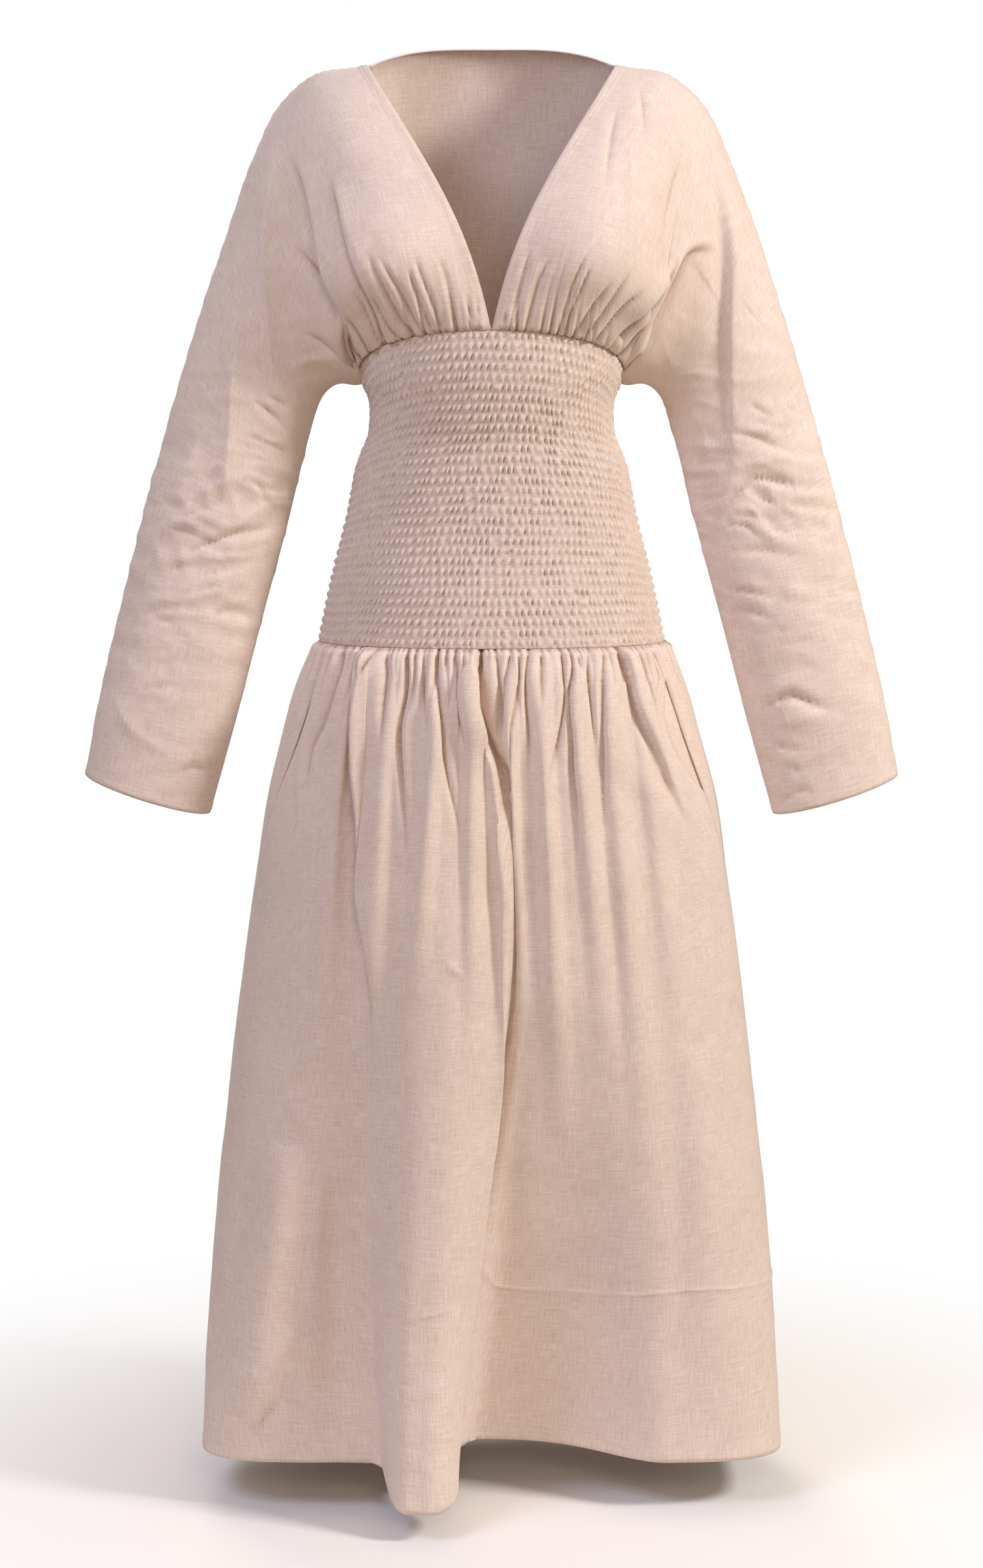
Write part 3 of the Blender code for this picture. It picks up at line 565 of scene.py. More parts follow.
stations = inMetres(stationColumns, (
    (120.8, 0, 0, -257.5, 0, -15.5, 0, 62, 112, 120, 66, 104, 100),
    (144.9, -3.6, 65.8, -263.9, 0, -6, 0, 66, 121, 136, 64, 100, 94),
    (174.7, -10.5, 104.3, -277.1, 0, 0, 0, 60, 106, 117, 60, 90, 80),
    (208.5, -40.9, 124.8, -305.5, 0, 2, 0.4, 50, 77, 68, 54, 72, 56),
    (227.4, -77.5, 144.8, -307.6, 2, 3, 0.9, 44, 64, 48, 48, 64, 46),
    (244.5, -119.3, 159.1, -312, 4, 4, 1, 37, 53, 38, 46, 61, 45),
    (262.2, -169.5, 170.1, -326.7, 5, 4, 1, 32, 47, 33, 44, 58, 43),
    (284, -231.4, 179.9, -357.3, 5, 3, 1, 29, 43, 29, 41, 54, 41),
    (308.4, -308.8, 191.7, -403.3, 4, 2, 1, 27, 40, 27, 37, 49, 37),
    (336.8, -408.4, 206.1, -461, 0, 1, 1, 30, 42, 30, 30, 42, 30),
    (363.5, -510.8, 227.2, -537.9, -6, 0, 1, 36, 48, 36, 24, 36, 24),
    (386.2, -605.1, 252.6, -634.3, -14, 0, 1, 44, 56, 44, 16, 28, 16),
    (403, -690.8, 279.6, -730, -20, 0, 1, 49, 60, 49, 9, 20, 9),
), "roundLow")
armpit = 3
cuff = len(stations) - 1
frontSeamAngles = (0.0, 31.0, 56.0, 90.0)
backLines = (
    # across the back of the neck: share of the neck's half width, seam angle, back1, back2, back3
    (0.00, 0.0, 0.094, 0.110, 0.103),
    (0.45, 14.0, 0.092, 0.110, 0.103),
    (0.80, 27.0, 0.082, 0.108, 0.102),
)
backSeamAngles = (40.0, 53.0, 68.0, 90.0)

# wearer's right front, on the left of the picture
rightFolds = {("lap", "both"): (
    (4.5, 9, -155, -103, -140, -155, -133, -189, -123, -219, -111, -246, -102, -272),
    (6, 13, -197, -77, -177, -125, -164, -173, -156, -212, -146, -245, -136, -284),
), ("valley", "start"): (
    (6, 5.5, -140, -155, -133, -189, -123, -219, -111, -246, -102, -272),
    (7, 6.5, -177, -125, -164, -173, -156, -212, -146, -245, -136, -284),
    (2.6, 3, -108, -185, -89, -218, -73, -246, -62, -262),
    (2.6, 3.2, -118, -181, -106, -209, -90, -240, -75, -260),
    (2.2, 3, -81, -193, -73, -217, -63, -242, -55, -258),
    (2.2, 3, -73, -181, -65, -209, -55, -234, -46, -257),
    (2.4, 3.4, -50, -185, -42, -209, -36, -236, -32, -256),
    (1.8, 2.2, -23, -221, -21, -240, -20, -256),
    (1.6, 2, -15, -221, -13, -240, -11, -255),
    (2.4, 3, -115, -219, -99, -250, -85, -266),
    (2.4, 3.2, -132, -217, -116, -250, -106, -273),
    (2.4, 3.2, -141, -239, -125, -262, -114, -281),
    (2.4, 2.8, -140, -264, -128, -278, -118, -290),
), ("ridge", "both"): (
    (4, 8, -168, -129, -161, -173, -149, -214, -142, -249, -130, -278),
    (4.5, 10, -205, -46, -212, -131, -218, -198, -214, -270, -212, -330),
), ("valley", "both"): (
    (5, 8, -193, -170, -173, -197, -156, -228, -147, -270),
    (4, 9, -188, -257, -167, -268, -144, -287, -132, -296),
)}
# wearer's left front, on the right of the picture
leftFolds = {("lap", "both"): (
    (-4, 8, 173, -187, 158, -216, 140, -245, 124, -262),
    (-5.5, 13, 226, -176, 201, -178, 186, -186, 173, -207, 161, -234, 150, -266, 136, -292),
    (3.6, 16, 210, -62, 222, -122, 229, -186, 228, -249, 230, -312, 234, -380, 240, -430),
), ("valley", "start"): (
    (4, 4, 173, -187, 158, -216, 140, -245, 124, -262),
    (2.4, 3.4, 38, -177, 30, -209, 25, -234, 24, -256),
    (2.4, 3.2, 58, -185, 46, -209, 38, -236, 33, -256),
    (2.4, 3.4, 93, -181, 81, -205, 71, -234, 63, -258),
    (2.2, 2.8, 98, -189, 85, -218, 74, -244, 68, -259),
    (2.4, 3, 117, -209, 98, -232, 82, -254, 77, -262),
    (2.4, 3, 134, -197, 119, -221, 103, -244, 86, -264),
    (2.4, 3, 145, -215, 126, -233, 108, -254, 96, -268),
    (2.4, 3, 151, -245, 134, -266, 118, -284),
    (2, 3, 148, -276, 135, -289, 124, -298),
    (1.8, 2.2, 14, -236, 13, -257),
), ("ridge", "both"): (
    (4, 6, 184, -170, 167, -207, 157, -228, 142, -249, 121, -272),
    (1.4, 3, 130, -63, 132, -135, 127, -197, 119, -225),
    (1.5, 8, 174, -30, 170, -60, 166, -94),
), ("valley", "both"): (
    (5, 6, 226, -180, 201, -182, 188, -190, 176, -211, 164, -238, 153, -268, 139, -294),
    (2.5, 10, 184, -82, 170, -133, 158, -187),
    (1.5, 6, 123, -37, 113, -76, 106, -136),
    (1.8, 6, 141, -20, 145, -63, 143, -90),
    (2.8, 2.6, 140, -244, 121, -262, 108, -278),
)}

# wrinkles of the wearer's right sleeve, on the left of the picture
rightSleeve = {("valley", "both"): (
    (3, 4, -235, -321, -224, -329, -211, -340, -197, -357),
    (1.4, 3, -222, -319, -205, -326, -194, -339),
    (2.2, 3.5, -245, -356, -226, -362, -207, -371, -192, -376),
    (2.2, 5, -238, -399, -226, -409, -219, -424, -203, -428),
    (2.4, 4, -320, -448, -303, -448, -286, -456),
    (2.2, 4.5, -310, -441, -290, -432, -263, -424),
    (4.2, 5, -305, -476, -290, -468, -271, -460, -249, -452, -226, -448, -203, -445),
    (2, 4.5, -320, -491, -303, -484, -282, -485),
    (1.6, 4, -290, -494, -265, -489, -245, -484),
    (1.6, 4, -291, -507, -265, -503, -244, -496),
    (2.6, 8, -353, -540, -341, -532, -322, -535, -300, -546),
    (3.2, 7, -279, -537, -259, -528, -240, -533, -230, -545),
    (2, 5, -349, -603, -329, -602, -306, -598),
    (3.2, 6, -309, -689, -298, -682, -280, -682, -266, -677),
), ("ridge", "both"): (
    (1.6, 5, -326, -400, -296, -391, -269, -391),
    (1.2, 4, -377, -600, -355, -642, -323, -662, -288, -666),
    (1, 4, -340, -635, -315, -620, -291, -616),
    (5, 14, -245, -208, -252, -314, -261, -415, -274, -503),
)}
# wrinkles of the wearer's left sleeve, on the right of the picture
leftSleeve = {("valley", "both"): (
    (1.2, 1.8, 233, -219, 255, -245, 279, -266),
    (2, 3.5, 248, -325, 265, -335, 280, -340),
    (1.6, 4, 282, -328, 296, -333, 309, -339),
    (1.6, 4, 253, -342, 275, -349, 298, -349),
    (3, 4.5, 221, -354, 250, -357, 275, -367, 308, -377),
    (5, 4.5, 248, -404, 259, -399, 281, -403, 309, -404),
    (2.4, 4, 259, -400, 244, -410, 224, -435),
    (2, 3, 255, -418, 276, -423, 292, -426),
    (2.8, 4, 224, -448, 247, -445, 264, -460),
    (2.4, 4, 264, -448, 282, -450, 300, -451),
    (2, 5, 231, -474, 260, -469, 282, -479),
    (1.6, 5, 257, -462, 282, -472, 308, -472),
    (3, 4, 226, -507, 251, -509, 284, -517),
    (2.6, 4.5, 229, -533, 251, -528, 284, -540),
    (2, 3, 276, -547, 289, -548, 303, -549),
    (6, 7, 258, -630, 277, -618, 294, -611, 316, -619, 347, -623),
    (2, 5, 275, -657, 289, -662, 304, -662),
    (2, 4, 286, -685, 297, -683, 308, -688),
    (2.4, 5, 282, -720, 303, -705, 327, -711),
), ("ridge", "both"): (
    (3.2, 5, 234, -391, 269, -381, 301, -382, 324, -391),
    (2.6, 4, 226, -436, 250, -427, 264, -441, 277, -455),
    (1.8, 4, 281, -511, 296, -508, 312, -512),
    (2.6, 5, 278, -645, 297, -635, 329, -630),
)}


def stationRows(*names):
    return [tuple(row[stationColumns.index(name)] for name in names) for row in stations]


def bodiceLines(u, side):
    # ends, bow, rounding and depths of the lines at u, all on the wearer's left
    extra = len(backLines) if side == "back" else 0
    station = u - extra
    held = np.maximum(station, 0.0)
    numbers = range(len(stations))
    xTop, zTop, xLow, zLow, midY, bow, roundLow = spline(numbers, stationRows(*stationColumns[:7]), held).T
    top = np.stack([xTop, midY, zTop], axis=1)
    low = np.stack([xLow, midY, zLow], axis=1)
    rows = stationRows(side + "1", side + "2", side + "3")
    if side == "front":
        depths = -spline(numbers, rows, held)
        angleKnots, angles = range(armpit + 1), frontSeamAngles
    else:
        depths = spline(range(extra + len(rows)), [row[2:] for row in backLines] + rows, u)
        share = np.interp(u, range(extra + 1), [row[0] for row in backLines] + [1.0])
        middle = station < 0.0
        root = np.sqrt(np.maximum(0.0, 1.0 - share * share))
        rise = backNeckRise * (1.0 - share ** backNeckCurve)
        neck = np.stack([neckHalfWidth * share, backNeckDepth * root, rise], axis=1)
        top = np.where(middle[:, None], neck, top)
        bow = np.where(middle, 0.0, bow * ease(station / 2.0))
        angleKnots = range(extra + armpit + 1)
        angles = [row[1] for row in backLines] + list(backSeamAngles)
    angle = spline(angleKnots, angles, np.minimum(u, extra + armpit))
    seamZ = bustSeam(angle, side)
    seamX, seamY = panelPlan(angle, seamZ, side)
    waist = np.stack([np.abs(seamX), seamY, seamZ + seamHalfGap], axis=1)
    low = np.where((station <= armpit)[:, None], waist, low)
    return top, low, bow, clamp01(roundLow), depths


def bodiceSurface(u, v, side):
    # grid of points, rows down from the overarm seam and columns along u
    top, low, bow, roundLow, depths = bodiceLines(u, side)
    v = v[:, None]
    spread = v - (1.0 - np.cos(math.pi * v)) / 2.0
    down = ease(v)
    w = v - ((1.0 - down) + roundLow[None, :] * down) * spread
    points = top[None] + (low - top)[None] * w[:, :, None]
    points[:, :, 0] += bow[None, :] * np.sin(math.pi * w ** 1.25)
    if side == "front":
        points[:, :, 2] -= bodice["cuffDip"] * np.sin(math.pi * v) * ease(u - cuff + 1.0)[None, :]
    knots = (0.0, 0.25, 0.5, 0.75, 1.0)
    values = np.vstack([top[:, 1], depths.T, low[:, 1]])
    points[:, :, 1] = spline(knots, values, v[:, 0])
    return points


def seamSafeNormals(base, side, u):
    normals = gridNormals(base)
    waist = np.abs(u) <= (armpit if side == "front" else armpit + len(backLines))
    shoulder = np.ones(len(u), bool) if side == "front" else np.abs(u) >= len(backLines)
    normals[-1, waist, 2] = 0.0
    normals[-1, ~waist, 1] = 0.0
    normals[0, shoulder, 1] = 0.0
    return normals / np.linalg.norm(normals, axis=2, keepdims=True)


def lineAt(outer, away, distance):
    # the line on the cloth at this distance from an edge; each row of the grid starts at the edge
    points = []
    for row, far in zip(outer, away):
        k = max(int(np.argmax(far >= distance)), 1)
        t = (distance - far[k - 1]) / (far[k] - far[k - 1])
        points.append(row[k - 1] + (row[k] - row[k - 1]) * t)
    return np.array(points)


def turnedHem(distance, band, stitchDip=0.45, lift=0.6):
    # a narrow hem: a second layer, lift mm high, and a dip of stitchDip mm where it is stitched down
    layer = lift * (1.0 - ease((distance - band) / 1.2e-3))
    stitch = stitchDip * np.exp(-((distance - band + hemStitchInset) / 0.0011) ** 2)
    roll = 0.5 * np.exp(-(distance / 0.0012) ** 2)
    return (layer - stitch - roll) * mm


def seamPucker(distance, along, depth):
    # small puckers that a line of stitches draws up beside a seam, depth mm high
    waves = np.sin(2.0 * math.pi * (along / 0.0083 + 0.7 * wander(along, 0.0, 0.03, 17)))
    return depth * waves * ease(distance / 0.0015) * (1.0 - ease((distance - 0.003) / 0.009)) * mm


stitchLines = []   # where the hems are stitched, for the threads further down


def bodiceRelief(base, u, side, part, folds):
    # folds with the small creases on them, how far each point is from the edges, and the seams' relief
    gatherSeed, rumpleSeed, wrinkleSeed = bodice["seeds"][part]
    beyond = np.abs(u) - armpit - (len(backLines) if side == "back" else 0)
    x, z = base[:, :, 0], base[:, :, 2]
    fromTop, along = gridDistances(base)
    fromLow = fromTop[-1] - fromTop
    sleeve = ease(beyond / 0.4)[None, :]
    height = folds + rumple(x, z, rumpleSeed) + wrinkles(x, z, wrinkleSeed) * ease(beyond / 2.0)
    height *= ease(fromTop / 0.012) * (1.0 - sleeve * (1.0 - ease(fromLow / 0.012)))   # calm at the seams
    pitch, high = bodice["gatherPitch"][side], bodice["gatherHeight"][side]
    gathers = ruffles(along[-1], fromLow, pitch, high, gatherSeed) * (1.0 - sleeve)
    deep = np.where(beyond <= 0.0, gatherDepth, 0.0)
    return height, fromTop, fromLow, along, sleeve, seamPucker(fromTop, x, 0.45), gathers, deep


def bodiceFront(side):
    right = side == "r"
    u = cuff * np.linspace(0.0, 1.0, bodice["frontColumns"]) ** 1.12   # closer near the middle
    v = np.linspace(0.0, 1.0, bodice["rows"])
    base = bodiceSurface(u, v, "front")
    base[:, :, 1] -= seamHalfGap
    if right:
        u = u[::-1]
        base = base[:, ::-1].copy()
        base[:, :, 0] *= -1.0
    normals = seamSafeNormals(base, "front", u)
    x, z = base[:, :, 0], base[:, :, 2]
    folds = foldRelief(x, z, rightFolds if right else leftFolds, bodice["foldStrength"])
    folds += foldRelief(x, z, rightSleeve if right else leftSleeve, bodice["sleeveStrength"])
    relief = bodiceRelief(base, u, "front", side, folds)
    height, _, fromLow, along, sleeve, puckers, gathers, deep = relief
    height *= 1.0 - 0.35 * (1.0 - ease(fromLow / 0.005)) * (1.0 - sleeve)
    height += puckers + gathers
    blouse = ease(fromLow / 0.006) * (1.0 - ease((fromLow - 0.01) / 0.05)) * (1.0 - sleeve)
    height += bodice["blouse"] * mm * blouse
    fromNeck = along[:, -1:] - along if right else along
    fromCuff = along if right else along[:, -1:] - along
    height *= ease(fromNeck / 0.010)
    height += turnedHem(fromNeck, bodice["neckBand"]) + turnedHem(fromCuff, bodice["cuffBand"])
    # painted shade in the creases is darkest under the bust and beside the armhole
    shade = 0.26 + 0.5 * (1.0 - sleeve) * np.exp(-fromLow / 0.06)
    shade = shade + 0.45 * np.exp(-((u - armpit) / 0.9) ** 2)[None, :]
    piece, outer = clothShell("bodice_front_" + side + "_cloth", base, normals, height, bodice["wall"], cloth,
                              (4, 4), (0.0, deep), shade)
    if right:
        outer, fromNeck, fromCuff = outer[:, ::-1], fromNeck[:, ::-1], fromCuff[:, ::-1]
    stitchLines.append(lineAt(outer, fromNeck, bodice["neckBand"] - hemStitchInset))
    stitchLines.append(lineAt(outer[:, ::-1], fromCuff[:, ::-1], bodice["cuffBand"] - hemStitchInset))
    return piece


def bodiceBack():
    extra = len(backLines)
    last = cuff + extra
    half = last * np.linspace(0.0, 1.0, bodice["backColumns"] // 2 + 1)
    v = np.linspace(0.0, 1.0, bodice["rows"])
    left = bodiceSurface(half, v, "back")
    left[:, :, 1] += seamHalfGap
    rightHalf = left[:, 1:].copy()
    rightHalf[:, :, 0] *= -1.0
    base = np.concatenate([left[:, ::-1], rightHalf], axis=1)
    u = np.concatenate([half[::-1], -half[1:]])
    normals = seamSafeNormals(base, "back", u)
    x, z = base[:, :, 0], base[:, :, 2]
    # the back isn't in the photo: the fronts' folds as they would show from behind, and lower
    folds = foldRelief(-x, z, rightFolds) + foldRelief(-x, z, leftFolds)
    for wrinkled in (rightSleeve, leftSleeve):
        folds += foldRelief(-x, z, wrinkled, bodice["backSleeveStrength"])
    relief = bodiceRelief(base, u, "back", "back", folds)
    height, fromTop, fromLow, along, sleeve, puckers, gathers, deep = relief
    neck = 1.0 - ease((np.abs(u) - extra + 0.3) / 0.3)[None, :]
    height += (1.0 - neck) * puckers + neck * turnedHem(fromTop, bodice["neckBand"]) + gathers
    fromCuff = np.minimum(along, along[:, -1:] - along)
    height += turnedHem(fromCuff, bodice["cuffBand"])
    # painted shade in the creases, darkest just above the bust seam
    shade = 0.2 + 0.45 * (1.0 - sleeve) * np.exp(-fromLow / 0.05)
    piece, outer = clothShell("bodice_back_cloth", base, normals, height, bodice["wall"], cloth, (2, 2),
                              (0.0, deep), shade)
    atNeck = np.abs(u) < extra
    atNeckDown = outer[:, atNeck].swapaxes(0, 1)
    stitchLines.append(lineAt(atNeckDown, fromTop[:, atNeck].T, bodice["neckBand"] - hemStitchInset))
    stitchLines.append(lineAt(outer, along, bodice["cuffBand"] - hemStitchInset))
    fromEnd = (along[:, -1:] - along)[:, ::-1]
    stitchLines.append(lineAt(outer[:, ::-1], fromEnd, bodice["cuffBand"] - hemStitchInset))
    return piece


bodiceLeft = bodiceFront("l")
bodiceRight = bodiceFront("r")
backPiece = bodiceBack()


# Skirt

skirt = {
    "wall": 1.2 * mm,
    "length": 0.8103,
    "foldDrop": 0.022,       # the hem hangs lower where the big fold comes forward
    "hemBand": 9.0 * mm,
    "columns": {"front": 321, "back": 261},
    "rows": {"front": 221, "back": 181},
    "foldStrength": 1.9,     # over the heights in the tables
    "gatherPitch": 0.0088,
    "gatherHeight": 5.5,     # mm
    "blouse": 5.0,           # mm that the skirt puffs out under the hip seam
    "pocketRoom": 5.0,       # mm that the front stands out over the pocket bags
    "backGathers": 30,
    "mouth": {"l": 0.024, "r": 0.003},   # how far each pocket mouth gapes
    "pressedLine": (0.628, 0.6445),      # below the hip seam
    "pocketTop": -0.592,     # and the top of the mouth
    "mouthEnd": -0.706,
    "seeds": {"front": (55, 51), "back": (65, 61)},   # gathers at the seam, rumples
    "seed": 23,              # of the back's long gathers
}
pocket = {
    "bottom": -0.752,
    "reach": 0.105,          # how far the bag lies under the skirt front
    "tuck": 0.005,           # and behind the seam, under the skirt back
    "seamDepth": 2.2 * mm,   # under the cloth's face at the seam
    "depth": 11.0 * mm,      # and further in
    "slope": (0.022, 0.045), # it goes from one depth to the other between these distances from the seam
    "wall": 1.4 * mm,
}
skirtColumns = ("z", "halfWidth", "front", "back", "centreY", "square", "seamAngle")
skirtSections = inMetres(skirtColumns, (
    (-560.5, 171.5, 116, 123, 0, 2.15, 66),
    (-575, 177.5, 124, 130, 0, 2.15, 65),
    (-603, 189.5, 132, 138, 0, 2.15, 64),
    (-636, 201.5, 137, 143, 0, 2.15, 64),
    (-701, 220.3, 142, 149, 2, 2.2, 68),
    (-767, 232.2, 143, 152, 4, 2.3, 76),
    (-899, 251, 141, 152, 8, 2.5, 86),
    (-1033, 267.4, 137, 150, 12, 2.8, 90),
    (-1167, 281.8, 132, 148, 16, 3.4, 90),
    (-1304, 290.5, 127, 146, 20, 4.8, 90),
    (-1371, 294, 125, 146, 20, 5.6, 90),
), "square", "seamAngle")
bigFoldColumns = ("z", "centreX", "halfLeft", "halfRight", "rise", "fullness")
bigFold = inMetres(bigFoldColumns, (
    (-600, -66, 55, 36, 0, 2.4),
    (-700, -62, 64, 50, 11, 2.4),
    (-800, -60, 72, 66, 20, 2.4),
    (-950, -56, 74, 68, 30, 2.5),
    (-1100, -60, 66, 62, 44, 2.8),
    (-1250, -68, 51, 46, 64, 3.6),
    (-1371, -70, 40, 34, 86, 4.8),
), "fullness")
besideFold = inMetres(bigFoldColumns, (
    (-900, 40, 50, 70, 0, 2.4),
    (-1000, 36, 55, 110, -12, 2.4),
    (-1100, 30, 58, 140, -28, 2.4),
    (-1250, 10, 52, 165, -52, 2.5),
    (-1371, -4, 44, 180, -74, 2.6),
), "fullness")
softFoldColumns = ("side", "xTop", "xLow", "zTop", "zLow", "half", "rise")
softFolds = inMetres(softFoldColumns, (
    ("front", -139, -172, -580, -980, 17, 7.5),
    ("front", -100, -124, -575, -1020, 15, 8.5),
    ("front", -50, -74, -575, -900, 14, 7.5),
    ("front", -20, -14, -575, -1000, 14, 10),
    ("front", 16, 26, -575, -940, 13, 8),
    ("front", 46, 70, -575, -1060, 15, 9),
    ("front", 78, 116, -575, -980, 15, 8),
    ("front", 108, 160, -575, -1100, 18, 8.5),
    ("front", 140, 196, -590, -1000, 16, 7),
    ("front", -205, -252, -1050, -1400, 42, 16),
    ("front", -150, -150, -1080, -1400, 30, -12),
    ("front", 205, 240, -950, -1400, 40, 9),
    ("back", -130, -270, -580, -1900, 34, 15),
    ("back", -80, -150, -580, -1900, 32, 13),
    ("back", -28, -50, -580, -1250, 24, 10),
    ("back", 20, 22, -580, -1900, 34, 16),
    ("back", 66, 110, -580, -1300, 24, 10),
    ("back", 104, 180, -600, -1900, 32, 14),
    ("back", 145, 300, -600, -1900, 32, 11),
), "side")
# gathers and creases of the skirt front, in mm
skirtFolds = {("valley", "end"): (
    (3.6, 4.5, -141, -560, -144, -580, -150, -599, -164, -640, -174, -665, -177, -717),
    (4.4, 4, -121, -560, -128, -595, -133, -638, -135, -681, -131, -728, -129, -793, -117, -894),
    (2.6, 3, -105, -560, -117, -581, -122, -596),
    (3, 4, -96, -560, -100, -596, -104, -636, -106, -660),
    (4.4, 3.6, -80, -560, -80, -596, -86, -626, -88, -654, -86, -687, -83, -725, -80, -768),
    (2.4, 3, -72, -560, -73, -593, -82, -626),
    (2.4, 3.6, -64, -560, -64, -584, -61, -640),
    (4, 3.6, -51, -560, -51, -595, -48, -625, -44, -667, -35, -710, -23, -753),
    (2.8, 2.6, -42, -560, -42, -580),
    (3.8, 3.6, -34, -560, -31, -590, -25, -642, -20, -670),
    (2.8, 2.6, -26, -560, -26, -584),
    (3.8, 3.6, 4, -560, 7, -583, 8, -613, 6, -642, 5, -659),
    (3, 3.4, 19, -560, 14, -583, 10, -613, 7, -649, 4, -668),
    (3.4, 3.6, 27, -560, 26, -588, 20, -630, 15, -677, 15, -710),
    (3.8, 3.6, 36, -560, 33, -579, 33, -611, 36, -642, 37, -690),
    (3.2, 3.4, 48, -560, 47, -572, 48, -620),
    (4.2, 4.4, 66, -560, 69, -584, 69, -614, 62, -654, 51, -700),
    (4.6, 3.6, 74, -560, 77, -579, 74, -605, 76, -642, 77, -678, 81, -716, 83, -780),
    (2.8, 2.6, 81, -560, 83, -584),
    (3, 3, 92, -560, 91, -584, 95, -620, 100, -668),
    (4, 3.6, 105, -560, 106, -597, 107, -643, 107, -691, 109, -740),
    (3.4, 3.6, 120, -560, 130, -593, 142, -629, 155, -660, 175, -703),
    (3.2, 3.4, 135, -560, 145, -592, 157, -640),
    (3.4, 3.6, 147, -560, 161, -588, 168, -612, 181, -650, 191, -690),
    (3, 3.4, 162, -560, 171, -590, 179, -626, 186, -662),
), ("lap", "end"): (
    (5, 11, -121, -560, -128, -595, -133, -638, -135, -681, -131, -728, -130, -762, -129, -793, -117, -894,
     -113, -1003),
    (3.6, 7, 120, -560, 130, -593, 142, -629, 155, -660, 175, -703, 195, -748),
), ("lap", "none"): (
    (-5, 11, -14, -560, -14, -583, -14, -614, -6, -644, 4, -670, 8, -697, 13, -732, 17, -770, 19, -805, 16,
     -894, 7, -1005, -8, -1110, -17, -1180, -27, -1250, -35, -1315, -41, -1385),
), ("valley", "none"): (
    (6, 4.5, -10, -560, -10, -614, -2, -644, 7, -670, 12, -697, 17, -732, 21, -770, 23, -805, 20, -894, 11,
     -1005, -4, -1110, -13, -1180, -23, -1250, -31, -1315, -37, -1385),
), ("ridge", "both"): (
    (0.8, 2, -176, -632, -183, -672, -184, -715, -176, -742, -152, -750),
    (1.2, 2.4, -47, -857, -22, -875),
    (3.4, 20, -182, -1222, -223, -1270, -252, -1310, -273, -1352),
    (0.7, 1.8, -76, -1206, -34, -1194),
    (0.6, 1.8, -90, -1336, -42, -1356),
    (0.6, 1.8, -286, -1173, -208, -1141, -148, -1135),
), ("valley", "both"): (
    (2.6, 12, -205, -1300, -228, -1330, -246, -1366),
), ("ridge", "none"): (
    (0.7, 1.4, -22, -1162, 0, -1190, 20, -1203, 119, -1202, 205, -1194, 284, -1201),
)}


def foldProfile(x, row):
    # 1 along the middle of a big fold, falling to 0 at its two sides
    centre, left, right, _, fullness = row
    t = np.where(x < centre, (centre - x) / left, (x - centre) / right)
    return 1.0 - clamp01(t) ** fullness


def bump(x, rows, z):
    if z >= rows[0][0]:
        return np.zeros_like(x)
    row = readTable(rows, bigFoldColumns, np.array([z]), *bigFoldColumns[1:])[:, 0]
    return row[3] * foldProfile(x, row) ** 2


def skirtRing(z):
    # plan curve at height z: points, outward normals, length along it and the seams' places
    row = readTable(skirtSections, skirtColumns, np.array([z]), *skirtColumns[1:])[:, 0]
    half, front, back, centreY, square, seam = row
    turn = np.radians(np.linspace(-180.0, 180.0, 1801))
    plain = shirring["square"]
    squareBack = plain + 0.15 * (square - plain)
    sx, cy = unitBox(turn, np.where(np.cos(turn) > 0.0, square, squareBack))
    x = half * sx
    y = centreY - np.where(cy > 0.0, front, back) * cy
    facing = ease((np.abs(cy) - 0.12) / 0.3)
    shift = np.where(cy > 0.0, -(bump(x, bigFold, z) + bump(x, besideFold, z)), 0.0)
    for row in softFolds:
        fold = dict(zip(softFoldColumns, row))
        if not fold["zLow"] < z < fold["zTop"]:
            continue
        share = (fold["zTop"] - z) / (fold["zTop"] - fold["zLow"])
        centre = fold["xTop"] + (fold["xLow"] - fold["xTop"]) * share
        wide = fold["half"] * (0.75 + 0.6 * share)
        high = fold["rise"] * math.sin(math.pi * share ** 0.6)
        profile = high * (1.0 - clamp01(np.abs(x - centre) / wide) ** 2) ** 2
        here = cy > 0.0 if fold["side"] == "front" else cy < 0.0
        sign = -1.0 if fold["side"] == "front" else 1.0
        shift = shift + np.where(here, sign * profile * facing, 0.0)
    points = np.stack([x, y + shift], axis=1)
    tangent = np.roll(points[:-1], -1, axis=0) - np.roll(points[:-1], 1, axis=0)
    tangent = np.vstack([tangent, tangent[:1]])
    tangent /= np.linalg.norm(tangent, axis=1)[:, None]
    normals = np.stack([tangent[:, 1], -tangent[:, 0]], axis=1)
    length = np.concatenate([[0.0], np.cumsum(np.linalg.norm(np.diff(points, axis=0), axis=1))])
    seams = np.interp(np.radians([-seam, seam]), turn, length)
    return points, normals, length, seams


def ringPoints(ring, lengths):
    points, normals, length, _ = ring
    at = np.mod(lengths, length[-1])
    xy = np.stack([np.interp(at, length, points[:, k]) for k in range(2)], axis=1)
    out = np.stack([np.interp(at, length, normals[:, k]) for k in range(2)], axis=1)
    return xy, out / np.linalg.norm(out, axis=1)[:, None]


def mouthGap(z, side):
    share = (skirt["pocketTop"] - z) / (skirt["pocketTop"] - skirt["mouthEnd"])
    return skirt["mouth"][side] * math.sin(math.pi * min(max(share, 0.0), 1.0)) ** 0.8


